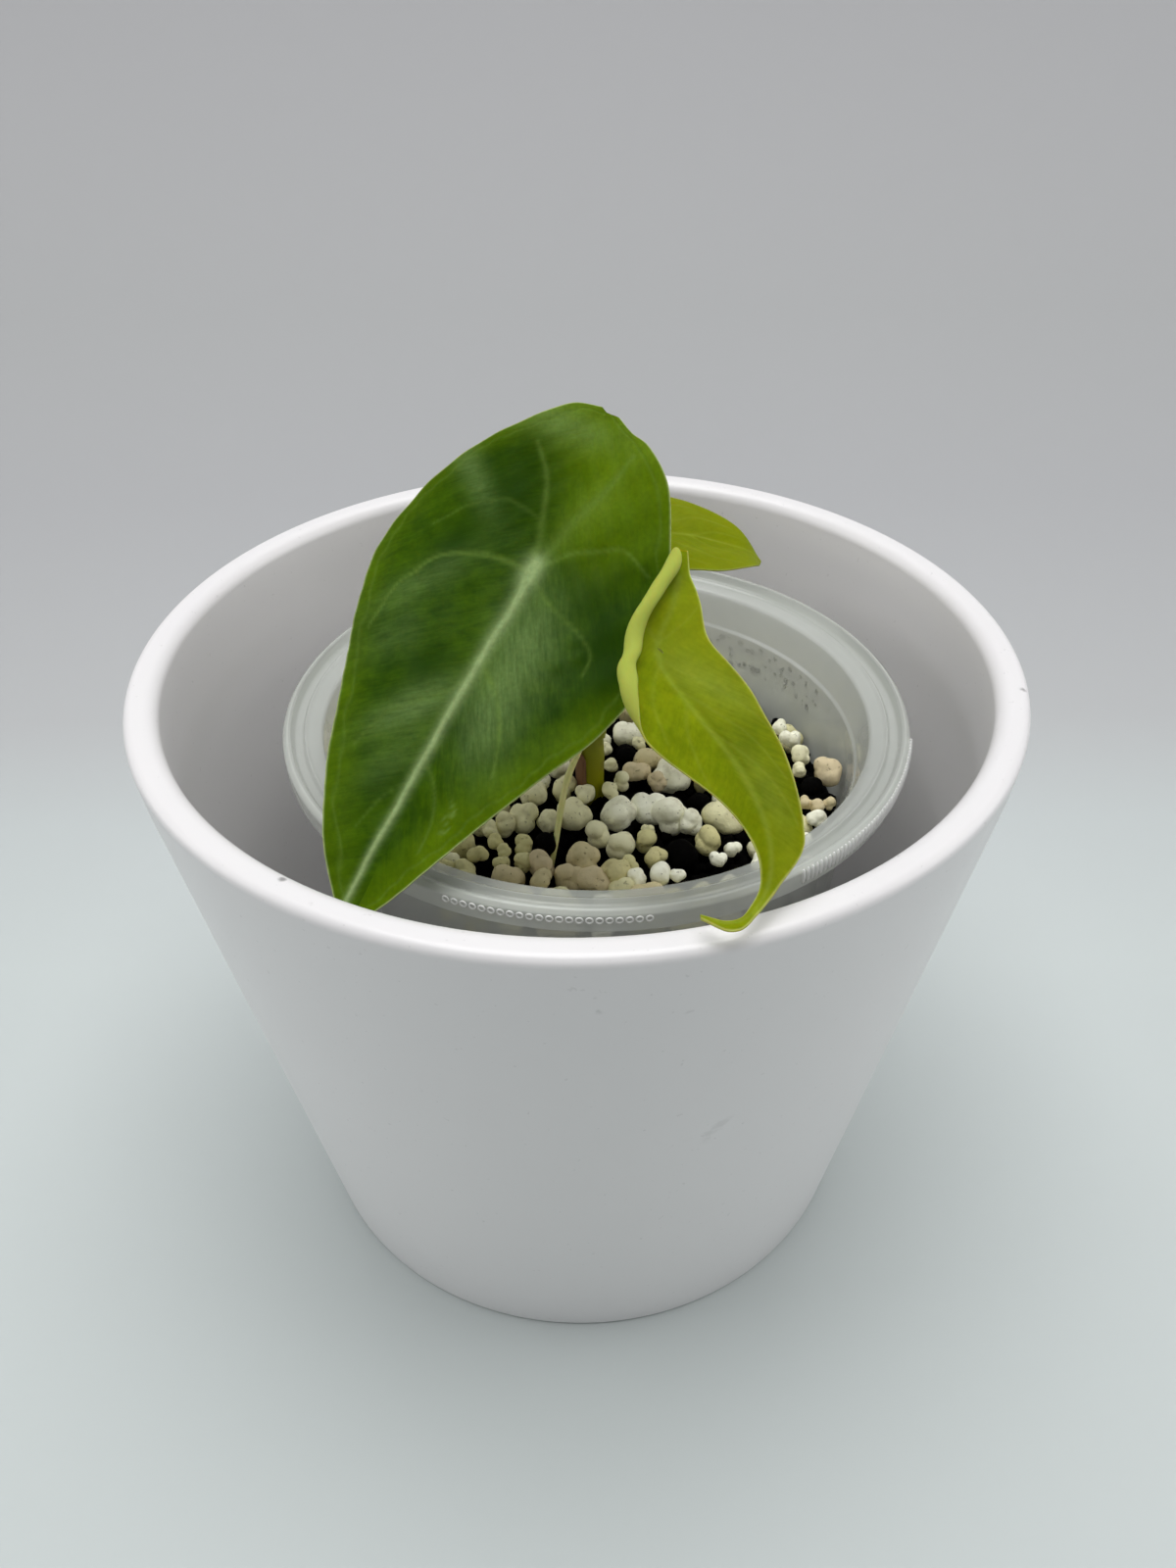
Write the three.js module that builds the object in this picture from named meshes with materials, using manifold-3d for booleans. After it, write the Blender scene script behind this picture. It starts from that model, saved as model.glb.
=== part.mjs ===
// A young alocasia longiloba in a clear growing cup, which stands inside a white cover pot.
// Millimetres, +Z up, origin at the middle of the pot's underside; the plant leans towards -Y.
import * as THREE from "three";
import { mergeVertices } from "three/addons/utils/BufferGeometryUtils.js";
import Module from "manifold-3d";

const wasm = await Module();
wasm.setup();

// Cover pot
const POT_RIM_R = 80;
const POT_HEIGHT = 127.4;
const POT_BASE_R = 62;
const POT_FLOOR = 6;
const POT_LIP = 5.8; // width of its flat lip, which is thicker than the wall below
const POT_LIP_OUTER_R = 1.6; // radius of the lip's outer edge
const POT_LIP_INNER_R = 2.6; // radius of the lip's inner edge
const POT_LIP_DEPTH = 17; // how far down the inside the thick part reaches
const POT_FOOT_R = 1.2;
const POT_WALL = 4;

// Growing cup: its rim stands a little lower than the pot's and a little to the right
const CUP_AT = new THREE.Vector3(3.4, -0.1, 0);
const CUP_RIM_Z = 115.3;
const CUP_RIM_R = 58.5;
const CUP_BOTTOM_R = 44;
const CUP_WALL = 0.9;
const CUP_STEP_R = 49.4; // inside radius just below the step that stacked cups rest on
const CUP_STEP_Z = CUP_RIM_Z - 9;
const FIT = 0.3; // clearance left between touching pieces

// Growing mix
const MIX_TOP_Z = 90.8;
const MIX_DIP = 0.6; // depth of the shallow hollows in its top
const GRAIN_STEP = 10.4; // from grain to grain, along a ring and from ring to ring
const GRAIN_R = [6.5, 7.4];
const SWELL = 0.2; // share of its radius by which a grain is lumpy
const EMPTY_SHARE = 0.12; // share of the places that stay empty
const GRAIN_SIDES = 7;
const GRAIN_RINGS = 4;
const GRAIN_FLAT = 0.6; // height of a grain for its width
const LUMP_COUNT = 12;
const LUMP_R = [3, 4];

// Plant
const STEM_FOOT = new THREE.Vector3(2.5, -5.3, 84);
const STEM_TOP = new THREE.Vector3(2.2, -4.8, 111);
const STEM_R = 2.5;
const BLADE = 0.8; // thickness of a leaf blade
const MARGIN_ROLL = 46; // degrees by which a rolled margin turns over in each mm

const finish = (colour, roughness, metalness = 0) =>
  new THREE.MeshStandardMaterial({ color: colour, roughness, metalness });

const glaze = finish(0xf1f1f4, 0.35);
const clearPlastic = finish(0xdfe6e4, 0.25);
clearPlastic.transparent = true;
clearPlastic.opacity = 0.4;
const charcoal = finish(0x141413, 0.9);
const perliteWhite = finish(0xe6e5d8, 0.85);
const stemGreen = finish(0x8f9440, 0.45);
const rootPale = finish(0xc9c98c, 0.5);
const matureGreen = finish(0x4f8a2e, 0.35);
const youngGreen = finish(0x93b23a, 0.35);
const backGreen = finish(0x86a032, 0.38);

// A repeatable random draw between two values
function dice(seed) {
  let state = seed;
  return (low = 0, high = 1) => {
    state = (state * 48271) % 2147483647;
    return low + ((high - low) * state) / 2147483647;
  };
}

// Closed geometry to solid and back
function solidOf(geometry) {
  const bare = geometry.clone();
  bare.deleteAttribute("normal");
  bare.deleteAttribute("uv");
  const merged = mergeVertices(bare, 1e-4);
  return new wasm.Manifold(
    new wasm.Mesh({
      numProp: 3,
      vertProperties: new Float32Array(merged.attributes.position.array),
      triVerts: new Uint32Array(merged.index.array),
    }),
  );
}

function geometryOf(solid) {
  const { vertProperties, triVerts, numProp } = solid.getMesh();
  const positions = new Float32Array((vertProperties.length / numProp) * 3);
  for (let i = 0; i < positions.length / 3; i++) {
    positions.set(vertProperties.subarray(i * numProp, i * numProp + 3), i * 3);
  }
  return new THREE.BufferGeometry()
    .setAttribute("position", new THREE.BufferAttribute(positions, 3))
    .setIndex(new THREE.BufferAttribute(new Uint32Array(triVerts), 1));
}

// The biggest body of a solid: loose scraps that fusing or cutting leaves are dropped
function biggestBody(solid) {
  return solid.decompose().reduce((a, b) => (b.volume() > a.volume() ? b : a));
}

function named(name, geometry, material, at = new THREE.Vector3()) {
  const mesh = new THREE.Mesh(geometry, material);
  mesh.name = name;
  mesh.position.copy(at);
  return mesh;
}

// A profile of [radius, height] turned round the Z axis
function turned(profile, segments) {
  const points = profile.map(([r, z]) => new THREE.Vector2(r, z));
  return new THREE.LatheGeometry(points, segments).rotateX(Math.PI / 2);
}

// Points of an arc in a profile, from one angle to another in degrees
function arc(cx, cz, radius, from, to, steps) {
  return Array.from({ length: steps + 1 }, (_, i) => {
    const angle = THREE.MathUtils.degToRad(from + ((to - from) * i) / steps);
    return [cx + radius * Math.cos(angle), cz + radius * Math.sin(angle)];
  });
}

// Cover pot: a plain tapered ceramic bowl with a thick, soft-edged lip and a flat foot
function coverPot() {
  const lipZ = POT_HEIGHT - POT_LIP_DEPTH;
  const outerR = THREE.MathUtils.lerp(POT_BASE_R, POT_RIM_R, lipZ / POT_HEIGHT);
  const edgeR = POT_RIM_R - POT_LIP + POT_LIP_INNER_R;
  const innerFloorR = POT_BASE_R - POT_WALL - 1.5;
  const profile = [
    [0, 0],
    ...arc(POT_BASE_R - POT_FOOT_R, POT_FOOT_R, POT_FOOT_R, -90, -8, 2),
    ...arc(POT_RIM_R - POT_LIP_OUTER_R, POT_HEIGHT - POT_LIP_OUTER_R, POT_LIP_OUTER_R, -4, 90, 3),
    ...arc(edgeR, POT_HEIGHT - POT_LIP_INNER_R, POT_LIP_INNER_R, 90, 180, 4),
    [outerR - POT_WALL, lipZ],
    ...arc(innerFloorR, POT_FLOOR + 3, 3, 0, -90, 2),
    [0, POT_FLOOR],
  ];
  return named("cover_pot", turned(profile, 64), glaze);
}

// Growing cup: thin wall, stacking step, sloping ledge, lid groove and a short outer skirt
function growingCup() {
  const z = CUP_RIM_Z;
  const floor = POT_FLOOR + FIT;
  const profile = [
    [0, floor],
    [CUP_BOTTOM_R - 1.5, floor],
    [CUP_BOTTOM_R, floor + 1.5],
    [CUP_STEP_R + CUP_WALL, CUP_STEP_Z - 0.6],
    [CUP_STEP_R + CUP_WALL + 1, CUP_STEP_Z + 0.4],
    [51.9, z - 2.9],
    [54.1, z - 2.2],
    [55, z - 2.6],
    [56.6, z - 2.5],
    [57.6, z - 1.2],
    [57.7, z - 4],
    [CUP_RIM_R, z - 4],
    [CUP_RIM_R, z - 0.7],
    [57.7, z],
    [57, z],
    [56.3, z - 1.5],
    [55, z - 1.6],
    [54.4, z - 0.7],
    [53.8, z - 1.1],
    [51.3, z - 1.7],
    [CUP_STEP_R + 1, CUP_STEP_Z + 0.9],
    [CUP_STEP_R, CUP_STEP_Z],
    [CUP_BOTTOM_R - CUP_WALL, floor + 1.8],
    [CUP_BOTTOM_R - 2, floor + CUP_WALL],
    [0, floor + CUP_WALL],
  ];
  return named("growing_cup", turned(profile, 52), clearPlastic, CUP_AT);
}

// Inside radius of the cup's tapered wall at a height
function cupInside(z) {
  const floor = POT_FLOOR + FIT;
  const rise = (z - floor) / (CUP_STEP_Z - floor);
  return THREE.MathUtils.lerp(CUP_BOTTOM_R - CUP_WALL, CUP_STEP_R, rise);
}

// One lumpy grain: a ball whose surface swells and dips by a sine rule
function grain({ x, y, z, r, phase }) {
  const ball = new THREE.SphereGeometry(1, GRAIN_SIDES, GRAIN_RINGS);
  ball.rotateX(1.2).rotateZ(phase);
  const p = ball.attributes.position;
  const v = new THREE.Vector3();
  for (let i = 0; i < p.count; i++) {
    v.fromBufferAttribute(p, i);
    const swell =
      1 +
      0.5 * SWELL * Math.sin(3.1 * v.x + phase) * Math.sin(2.7 * v.y + 2 * phase) +
      0.5 * SWELL * Math.sin(4.3 * v.z + 3 * phase + 2 * v.x);
    v.multiplyScalar(r * swell);
    p.setXYZ(i, v.x + x, v.y + y, GRAIN_FLAT * v.z + z);
  }
  return ball;
}

// Grains lie in rings with a random start and a little jitter. Some places stay empty, so that the
// dark mix shows, and each grain sinks a little into its neighbours, so that the layer holds together.
function grainPlaces(random) {
  const outer = cupInside(MIX_TOP_Z) - FIT - (1 + SWELL) * GRAIN_R[1];
  const places = [];
  for (let ring = outer; ring > 0; ring -= GRAIN_STEP) {
    const count = Math.round((2 * Math.PI * ring) / GRAIN_STEP);
    const start = random(0, 2 * Math.PI);
    for (let i = 0; i < count; i++) {
      const angle = start + (2 * Math.PI * (i + random(-0.1, 0.1))) / count;
      const reach = ring - random(0, 0.8);
      const x = reach * Math.cos(angle);
      const y = reach * Math.sin(angle);
      const r = random(...GRAIN_R);
      const z = MIX_TOP_Z + FIT + (1 + SWELL) * GRAIN_FLAT * r;
      const phase = random(0, 2 * Math.PI);
      const fromStem = Math.hypot(x + CUP_AT.x - STEM_FOOT.x, y + CUP_AT.y - STEM_FOOT.y);
      if (random() > EMPTY_SHARE && fromStem > 1.4 * STEM_R) {
        places.push({ x, y, z, r, phase });
      }
    }
  }
  return places;
}

// Dark lumps of the mix show in the gaps between the grains
function lumpPlaces(random, grains) {
  const places = [];
  for (let tries = 0; tries < 4000 && places.length < LUMP_COUNT; tries++) {
    const r = random(...LUMP_R);
    const reach = Math.sqrt(random()) * (cupInside(MIX_TOP_Z) - FIT - 1.2 * r);
    const angle = random(0, 2 * Math.PI);
    const x = reach * Math.cos(angle);
    const y = reach * Math.sin(angle);
    const inGap = grains.every((o) => Math.hypot(o.x - x, o.y - y) > 0.72 * o.r + 0.72 * r);
    const apart = places.every((o) => Math.hypot(o.x - x, o.y - y) > 2 * r);
    if (inGap && apart) {
      places.push({ x, y, r, z: MIX_TOP_Z + random(0.5, 2), phase: random(0, 2 * Math.PI) });
    }
  }
  return places;
}

// Grains at their places joined into one solid, each made bigger by the growth asked for
function fused(places, grow = 0) {
  const solids = places.map((o) => solidOf(grain({ ...o, r: o.r + grow })));
  return solids.reduce((a, b) => a.add(b));
}

// The mix fills the cup from its floor; its top is uneven by a sine rule
function mixBed() {
  const floor = POT_FLOOR + FIT + CUP_WALL + FIT;
  const edge = cupInside(MIX_TOP_Z) - FIT;
  const bed = turned(
    [
      [0, floor],
      [CUP_BOTTOM_R - 3, floor],
      [cupInside(floor + 2) - FIT, floor + 2],
      [edge, MIX_TOP_Z],
      [edge - 5, MIX_TOP_Z],
      [edge * 0.6, MIX_TOP_Z],
      [edge * 0.3, MIX_TOP_Z],
      [0, MIX_TOP_Z],
    ],
    40,
  );
  const p = bed.attributes.position;
  for (let i = 0; i < p.count; i++) {
    if (p.getZ(i) > MIX_TOP_Z - 0.1) {
      const hollow = Math.sin(0.31 * p.getX(i)) ** 2 * Math.sin(0.27 * p.getY(i)) ** 2;
      p.setZ(i, MIX_TOP_Z - MIX_DIP * hollow);
    }
  }
  return solidOf(bed);
}

// A round stalk along a smooth line through points, with a radius that changes evenly
function stalk(points, radii, sides = 8, steps = 12) {
  const line = new THREE.CatmullRomCurve3(points, false, "catmullrom", 0.5);
  const frames = line.computeFrenetFrames(steps, false);
  const rings = [];
  for (let i = 0; i <= steps; i++) {
    const centre = line.getPointAt(i / steps);
    const spot = (i / steps) * (radii.length - 1);
    const low = Math.min(Math.floor(spot), radii.length - 2);
    const r = THREE.MathUtils.lerp(radii[low], radii[low + 1], spot - low);
    for (let k = 0; k < sides; k++) {
      const angle = (2 * Math.PI * k) / sides;
      rings.push(
        centre
          .clone()
          .addScaledVector(frames.normals[i], r * Math.cos(angle))
          .addScaledVector(frames.binormals[i], r * Math.sin(angle)),
      );
    }
  }
  const first = rings.push(line.getPointAt(0)) - 1;
  const last = rings.push(line.getPointAt(1)) - 1;
  const faces = [];
  for (let k = 0; k < sides; k++) {
    const next = (k + 1) % sides;
    faces.push(first, next, k);
    faces.push(last, steps * sides + k, steps * sides + next);
    for (let i = 0; i < steps; i++) {
      const a = i * sides + k;
      const b = i * sides + next;
      faces.push(a, b, b + sides, a, b + sides, a + sides);
    }
  }
  return new THREE.BufferGeometry().setFromPoints(rings).setIndex(faces);
}

// Value at a station of a list of [station, value, value...], with soft steps between rows
function along(rows, at, column) {
  if (at <= rows[0][0]) {
    return rows[0][column];
  }
  for (let i = 1; i < rows.length; i++) {
    if (at < rows[i][0]) {
      const t = (at - rows[i - 1][0]) / (rows[i][0] - rows[i - 1][0]);
      return THREE.MathUtils.lerp(rows[i - 1][column], rows[i][column], t * t * (3 - 2 * t));
    }
  }
  return rows[rows.length - 1][column];
}

// A leaf is drawn flat, then bent. Flat, x runs along the midrib from the point where the stalk
// meets it (towards the tip is +) and y runs to the leaf's left. Bent, the midrib follows a smooth
// line in space, and each half rises from it at its lift angle and curls by its curl per mm. A left
// margin may be rolled: its rows give x, then how far out from the midrib it starts to turn over.
class Leaf {
  constructor({ midrib, joint, pitch, sections, ribs, rolled = [[0, 99]] }) {
    this.line = new THREE.CatmullRomCurve3(midrib, false, "catmullrom", 0.5);
    this.line.arcLengthDivisions = 24 * (midrib.length - 1);
    this.span = this.line.getLength();
    this.start = -this.line.getLengths()[24 * joint];
    this.pitch = THREE.MathUtils.degToRad(pitch);
    this.sections = sections;
    this.ribs = ribs;
    this.rolled = rolled;
  }

  // Left, up and forward directions of the cross-section at x
  frame(x) {
    const heading = THREE.MathUtils.degToRad(along(this.sections, x, 1));
    const roll = THREE.MathUtils.degToRad(along(this.sections, x, 2));
    const level = new THREE.Vector3(-Math.cos(heading), Math.sin(heading), 0);
    const ahead = new THREE.Vector3(
      -Math.sin(heading) * Math.cos(this.pitch),
      -Math.cos(heading) * Math.cos(this.pitch),
      -Math.sin(this.pitch),
    );
    level.applyAxisAngle(ahead, -roll);
    return { left: level, up: level.clone().cross(ahead) };
  }

  // Point of the bent leaf's middle surface for a flat point
  at(x, y) {
    const share = (x - this.start) / this.span;
    const point = this.line.getPointAt(THREE.MathUtils.clamp(share, 0, 1));
    const beyond = (share - THREE.MathUtils.clamp(share, 0, 1)) * this.span;
    if (beyond) {
      point.addScaledVector(this.line.getTangentAt(share > 1 ? 1 : 0), beyond);
    }
    const { left, up } = this.frame(x);
    const side = y > 0 ? 3 : 5;
    const lift = along(this.sections, x, side);
    const curl = along(this.sections, x, side + 1);
    const turnsOver = y > 0 ? along(this.rolled, x, 1) : Infinity;
    const parts = 40;
    let out = 0;
    let rise = 0;
    for (let k = 0.5; k < parts; k++) {
      const d = (Math.abs(y) * k) / parts;
      const roll = MARGIN_ROLL * Math.max(0, d - turnsOver);
      const angle = THREE.MathUtils.degToRad(lift * Math.min(1, d / 2) + curl * d + roll);
      out += (y * Math.cos(angle)) / parts;
      rise += (Math.abs(y) * Math.sin(angle)) / parts;
    }
    return point.addScaledVector(left, out).addScaledVector(up, rise);
  }

  // Flat point at t from the lobes to the tip, and s from the right edge (-1) to the left (+1)
  flat(t, s) {
    const rib = (index) => {
      const nearest = THREE.MathUtils.clamp(index, 0, this.ribs.length - 1);
      const [middle, left, right] = this.ribs[nearest];
      const [ex, ey] = s > 0 ? left : right;
      return [middle, ex, ey];
    };
    const spot = t * (this.ribs.length - 1);
    const low = Math.min(Math.floor(spot), this.ribs.length - 2);
    const f = spot - low;
    const [a, b, c, d] = [low - 1, low, low + 1, low + 2].map(rib);
    const smooth = (k) =>
      0.5 *
      (2 * b[k] +
        (c[k] - a[k]) * f +
        (2 * a[k] - 5 * b[k] + 4 * c[k] - d[k]) * f * f +
        (3 * b[k] - a[k] - 3 * c[k] + d[k]) * f * f * f);
    const w = Math.abs(s);
    return [THREE.MathUtils.lerp(smooth(0), smooth(1), w), smooth(2) * w];
  }

  // Unit normal of the upper face at a flat point
  normal(x, y) {
    const h = 0.4;
    const forward = this.at(x + h, y).sub(this.at(x - h, y));
    const leftward = this.at(x, y + h).sub(this.at(x, y - h));
    return leftward.cross(forward).normalize();
  }

  // Closed blade: the same triangles above and below, joined round the edge. Its shares say where
  // its points lie across it, from the left edge (1) to the right edge (-1).
  blade(rows, shares) {
    const columns = shares.length - 1;
    const points = [];
    const flatPoints = [];
    for (let i = 0; i <= rows; i++) {
      const t = 0.5 - 0.5 * Math.cos((Math.PI * i) / rows);
      for (const s of shares) {
        flatPoints.push(this.flat(0.35 * (i / rows) + 0.65 * t, s));
      }
    }
    for (const side of [0.5, -0.5]) {
      for (const [x, y] of flatPoints) {
        points.push(this.at(x, y).addScaledVector(this.normal(x, y), side * BLADE));
      }
    }
    const under = flatPoints.length;
    const id = (i, j) => i * (columns + 1) + j;
    const faces = [];
    for (let i = 0; i < rows; i++) {
      for (let j = 0; j < columns; j++) {
        const [a, b, c, d] = [id(i, j), id(i, j + 1), id(i + 1, j + 1), id(i + 1, j)];
        faces.push(a, c, b, a, d, c);
        faces.push(a + under, b + under, c + under, a + under, c + under, d + under);
      }
    }
    const upTo = (count) => Array.from({ length: count }, (_, i) => i);
    const edge = [
      ...upTo(rows).map((i) => id(i, 0)),
      ...upTo(columns).map((j) => id(rows, j)),
      ...upTo(rows).map((i) => id(rows - i, columns)),
      ...upTo(columns).map((j) => id(0, columns - j)),
    ];
    edge.forEach((a, i) => {
      const b = edge[(i + 1) % edge.length];
      faces.push(a, b + under, b, a, a + under, b + under);
    });
    return new THREE.BufferGeometry().setFromPoints(points).setIndex(faces);
  }

  // Where the stalk ends: just under the blade at the joint
  socket() {
    return this.at(0, 0).addScaledVector(this.normal(0, 0), -BLADE / 2 - FIT - 0.15);
  }
}

const V = (x, y, z) => new THREE.Vector3(x, y, z);

// Sections: x, heading, roll, lift and curl of the left half, lift and curl of the right half.
// Ribs: x on the midrib, then the edge points that its side veins run to, left and right.
const bigLeaf = new Leaf({
  midrib: [
    V(5.8, 3.9, 170.2),
    V(-6.9, -14.2, 150),
    V(-20, -35.4, 133.4),
    V(-33, -57, 117),
    V(-35.6, -61, 113.5),
  ],
  joint: 1,
  pitch: 38,
  sections: [
    [-30, 33, 13, 10, -1.2, 10, -1.2],
    [65, 32, 10, 10, -1.2, 10, -1.2],
  ],
  ribs: [
    [-28.6, [-29.3, 1.2], [-28.4, -2.5]],
    [-26, [-28, 6], [-26.6, -5.6]],
    [-22, [-23.5, 11.5], [-25.2, -9.5]],
    [-17, [-14.5, 20.5], [-20.5, -14.8]],
    [-10, [-4.5, 26.5], [-12, -19]],
    [-1, [5.5, 29], [-2, -22.8]],
    [10, [17, 26], [10, -24.6]],
    [22, [30, 20.8], [22, -22]],
    [35, [42, 16.2], [32.5, -16.8]],
    [48, [53, 10.6], [46, -10.2]],
    [58, [60, 5.2], [57, -5]],
    [64.6, [64.8, 0.4], [64.8, -0.4]],
  ],
});

const youngLeaf = new Leaf({
  midrib: [
    V(16.2, -24.4, 157),
    V(14.1, -33.2, 153.5),
    V(11.5, -40.4, 149.5),
    V(15.6, -49.5, 146),
    V(20.5, -56.7, 142),
    V(23.6, -62.5, 138.5),
    V(25.4, -67.1, 134.8),
    V(25.2, -71.2, 132),
    V(22.4, -75.5, 130.9),
    V(19.2, -76.9, 130.7),
    V(16, -75.4, 130.6),
  ],
  joint: 2,
  pitch: 25,
  sections: [
    [-20, -8, 14, 14, 1.2, 26, 1.5],
    [-10, -8, 14, 12, 1.2, 24, 1.2],
    [0, -8, 14, 10, 1, 20, 0.8],
    [8, -8, 13, 8, 0.8, 17, 0.6],
    [14, -8, 12, 7, 0.6, 16, 0.6],
    [26, -8, 10, 8, 0.4, 16, 0.6],
    [34, -6, 5, 12, 0.3, 16, 0.5],
    [42, 55, 0, 12, 0, 12, 0],
    [48, 95, 0, 10, 0, 10, 0],
  ],
  ribs: [
    [-19.5, [-19.6, 1.4], [-19.5, -0.6]],
    [-17.5, [-17.8, 4.2], [-17.5, -1.1]],
    [-14.5, [-14.5, 6.8], [-14.5, -1.8]],
    [-11, [-11, 8.2], [-11, -3.3]],
    [-7, [-7, 9], [-7, -5]],
    [-3, [-3, 9], [-3.3, -6.8]],
    [0.5, [0.5, 9.4], [0, -8.4]],
    [4.6, [4.6, 12], [3.5, -9.6]],
    [9, [8, 13.4], [8.2, -10]],
    [14, [12.5, 13.6], [13.7, -9.4]],
    [18, [16.5, 12.2], [18.2, -8.7]],
    [21, [20.3, 10.2], [21.4, -8]],
    [24, [23.2, 7.8], [25, -7.2]],
    [27.5, [26.6, 4.7], [28.5, -6.4]],
    [31, [30, 2.8], [31.2, -5.7]],
    [34.5, [34.1, 1.7], [34.4, -4.7]],
    [38.5, [38.5, 1.25], [38.2, -1.5]],
    [43.5, [43.4, 1], [43.5, -0.6]],
    [46.5, [46, 0.6], [46.5, -1.6]],
    [49, [49, 0.5], [49, -1]],
    [51.6, [51.6, 0.3], [51.5, -0.4]],
  ],
  rolled: [
    [-19, 0.9],
    [-14, 2.3],
    [-7, 4.4],
    [0, 4.6],
    [4.6, 7.4],
    [7.6, 8.8],
    [11, 9.9],
    [18, 10.8],
  ],
});

const backLeaf = new Leaf({
  midrib: [
    V(-8, 1.5, 147.5),
    V(4.5, 3.5, 147.2),
    V(18, 6.5, 145.6),
    V(30, 8.5, 141.6),
    V(34, 9, 138.8),
  ],
  joint: 1,
  pitch: 12,
  sections: [
    [-20, -98, -8, 14, -1.4, 14, -1.4],
    [40, -98, -8, 14, -1.4, 14, -1.4],
  ],
  ribs: [
    [-13, [-13.3, 0.8], [-13.3, -0.8]],
    [-10.5, [-12, 6.5], [-12, -6.5]],
    [-6, [-6.5, 11], [-7, -10.5]],
    [1, [2, 12.4], [0, -11.6]],
    [10, [11, 12.2], [10, -11.6]],
    [18, [19.5, 10.8], [19, -10.4]],
    [25, [26, 7.2], [26, -7.2]],
    [29.5, [29.8, 3.4], [29.8, -3.4]],
    [31.4, [31.4, 0.4], [31.4, -0.4]],
  ],
});

// Stalks: each stands on the stem with its foot and ends under its blade
const fork = (x, y) => V(STEM_TOP.x + x, STEM_TOP.y + y, STEM_TOP.z + FIT);
const bigStalk = [fork(-1.3, -0.9), V(-0.6, -4, 126), V(-3.6, -5.4, 139), bigLeaf.socket()];
const youngStalk = [
  fork(1.4, -0.8),
  V(6.6, -3.6, 124),
  V(12.8, -9, 136),
  V(15.6, -23, 143.5),
  V(13.4, -35, 145),
  youngLeaf.socket(),
];
const backStalk = [fork(0.2, 1.5), V(3.2, 0.2, 124), V(4.4, 3, 137), backLeaf.socket()];

// The stem stands in the mix; the root leaves it just above the mix and dips into the front of it
const stemMiddle = STEM_FOOT.clone().lerp(STEM_TOP, 0.5);
const stemRadii = [STEM_R - 0.6, STEM_R, STEM_R, STEM_R + 0.3];
const stem = stalk([STEM_FOOT, stemMiddle, STEM_TOP], stemRadii, 12, 6);
const rootLine = [
  V(0.9, -8.2, 109.6),
  V(-1.9, -13.7, 105.4),
  V(-4.4, -23.5, 98.6),
  V(-5.7, -28, 93.5),
];
const rootTip = V(-6, -29.4, 88);
const rootRadii = [0.75, 0.7, 0.45, 0.35, 0.3];
const root = stalk([...rootLine, rootTip], rootRadii, 8, 10);

// Plain holes for the stem and the root, with clearance all round
const below = V(0, 0, -FIT);
const stemHoleRadii = [STEM_R + FIT, STEM_R + FIT];
const stemHole = stalk([STEM_FOOT.clone().add(below), STEM_TOP], stemHoleRadii, 12, 2);
const rootHoleRadii = rootRadii.map((r) => r + 1.5 * FIT);
const rootHole = stalk([...rootLine, rootTip.clone().add(below)], rootHoleRadii, 8, 10);
const holes = [stemHole, rootHole].map((hole) =>
  solidOf(hole.translate(-CUP_AT.x, -CUP_AT.y, -CUP_AT.z)),
);
const drilled = (solid) => solid.subtract(holes[0]).subtract(holes[1]);

const random = dice(20411);
const grains = grainPlaces(random);
const perlite = biggestBody(drilled(fused(grains)));
const lumps = fused(lumpPlaces(random, grains)).subtract(fused(grains, FIT + 0.05));
const mix = biggestBody(drilled(mixBed().add(lumps)));

const part = new THREE.Group();
part.add(coverPot(), growingCup());
part.add(named("charcoal_mix", geometryOf(mix), charcoal, CUP_AT));
part.add(named("perlite_grains", geometryOf(perlite), perliteWhite, CUP_AT));
part.add(named("stem_base", stem, stemGreen));
part.add(named("aerial_root", root, rootPale));
part.add(named("big_leaf_stalk", stalk(bigStalk, [1.4, 1.25, 1.25, 1.1]), stemGreen));
part.add(named("young_leaf_stalk", stalk(youngStalk, [1.3, 1.15, 1.05, 0.95], 8, 16), stemGreen));
part.add(named("back_leaf_stalk", stalk(backStalk, [1.3, 1.1, 1, 0.9]), stemGreen));
const even = (columns) => Array.from({ length: columns + 1 }, (_, i) => 1 - (2 * i) / columns);
const rolledShares = [1, 0.93, 0.86, 0.79, 0.72, 0.65, 0.58, 0.51, 0.44, 0.37, 0.3, 0.15];
const youngShares = [...rolledShares, 0, -0.2, -0.4, -0.6, -0.8, -1];
part.add(named("big_leaf_blade", bigLeaf.blade(20, even(10)), matureGreen));
part.add(named("young_leaf_blade", youngLeaf.blade(30, youngShares), youngGreen));
part.add(named("back_leaf_blade", backLeaf.blade(12, even(8)), backGreen));

export default part;
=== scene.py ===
import math

import bmesh
import bpy
import numpy as np
from mathutils import Matrix, Vector


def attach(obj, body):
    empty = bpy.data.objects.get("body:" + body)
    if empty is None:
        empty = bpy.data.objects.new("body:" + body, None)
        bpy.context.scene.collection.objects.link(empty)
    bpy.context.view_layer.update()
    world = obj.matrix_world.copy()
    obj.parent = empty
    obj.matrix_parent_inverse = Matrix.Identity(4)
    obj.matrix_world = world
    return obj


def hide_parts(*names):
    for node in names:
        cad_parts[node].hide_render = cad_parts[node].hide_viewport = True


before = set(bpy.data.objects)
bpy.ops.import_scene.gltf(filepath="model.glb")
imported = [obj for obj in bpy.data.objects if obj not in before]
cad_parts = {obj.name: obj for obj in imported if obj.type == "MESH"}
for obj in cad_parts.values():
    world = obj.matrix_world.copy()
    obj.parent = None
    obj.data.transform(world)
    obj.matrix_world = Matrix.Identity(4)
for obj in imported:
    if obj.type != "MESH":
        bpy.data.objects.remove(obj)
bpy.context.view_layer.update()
MM = 0.001

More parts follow.
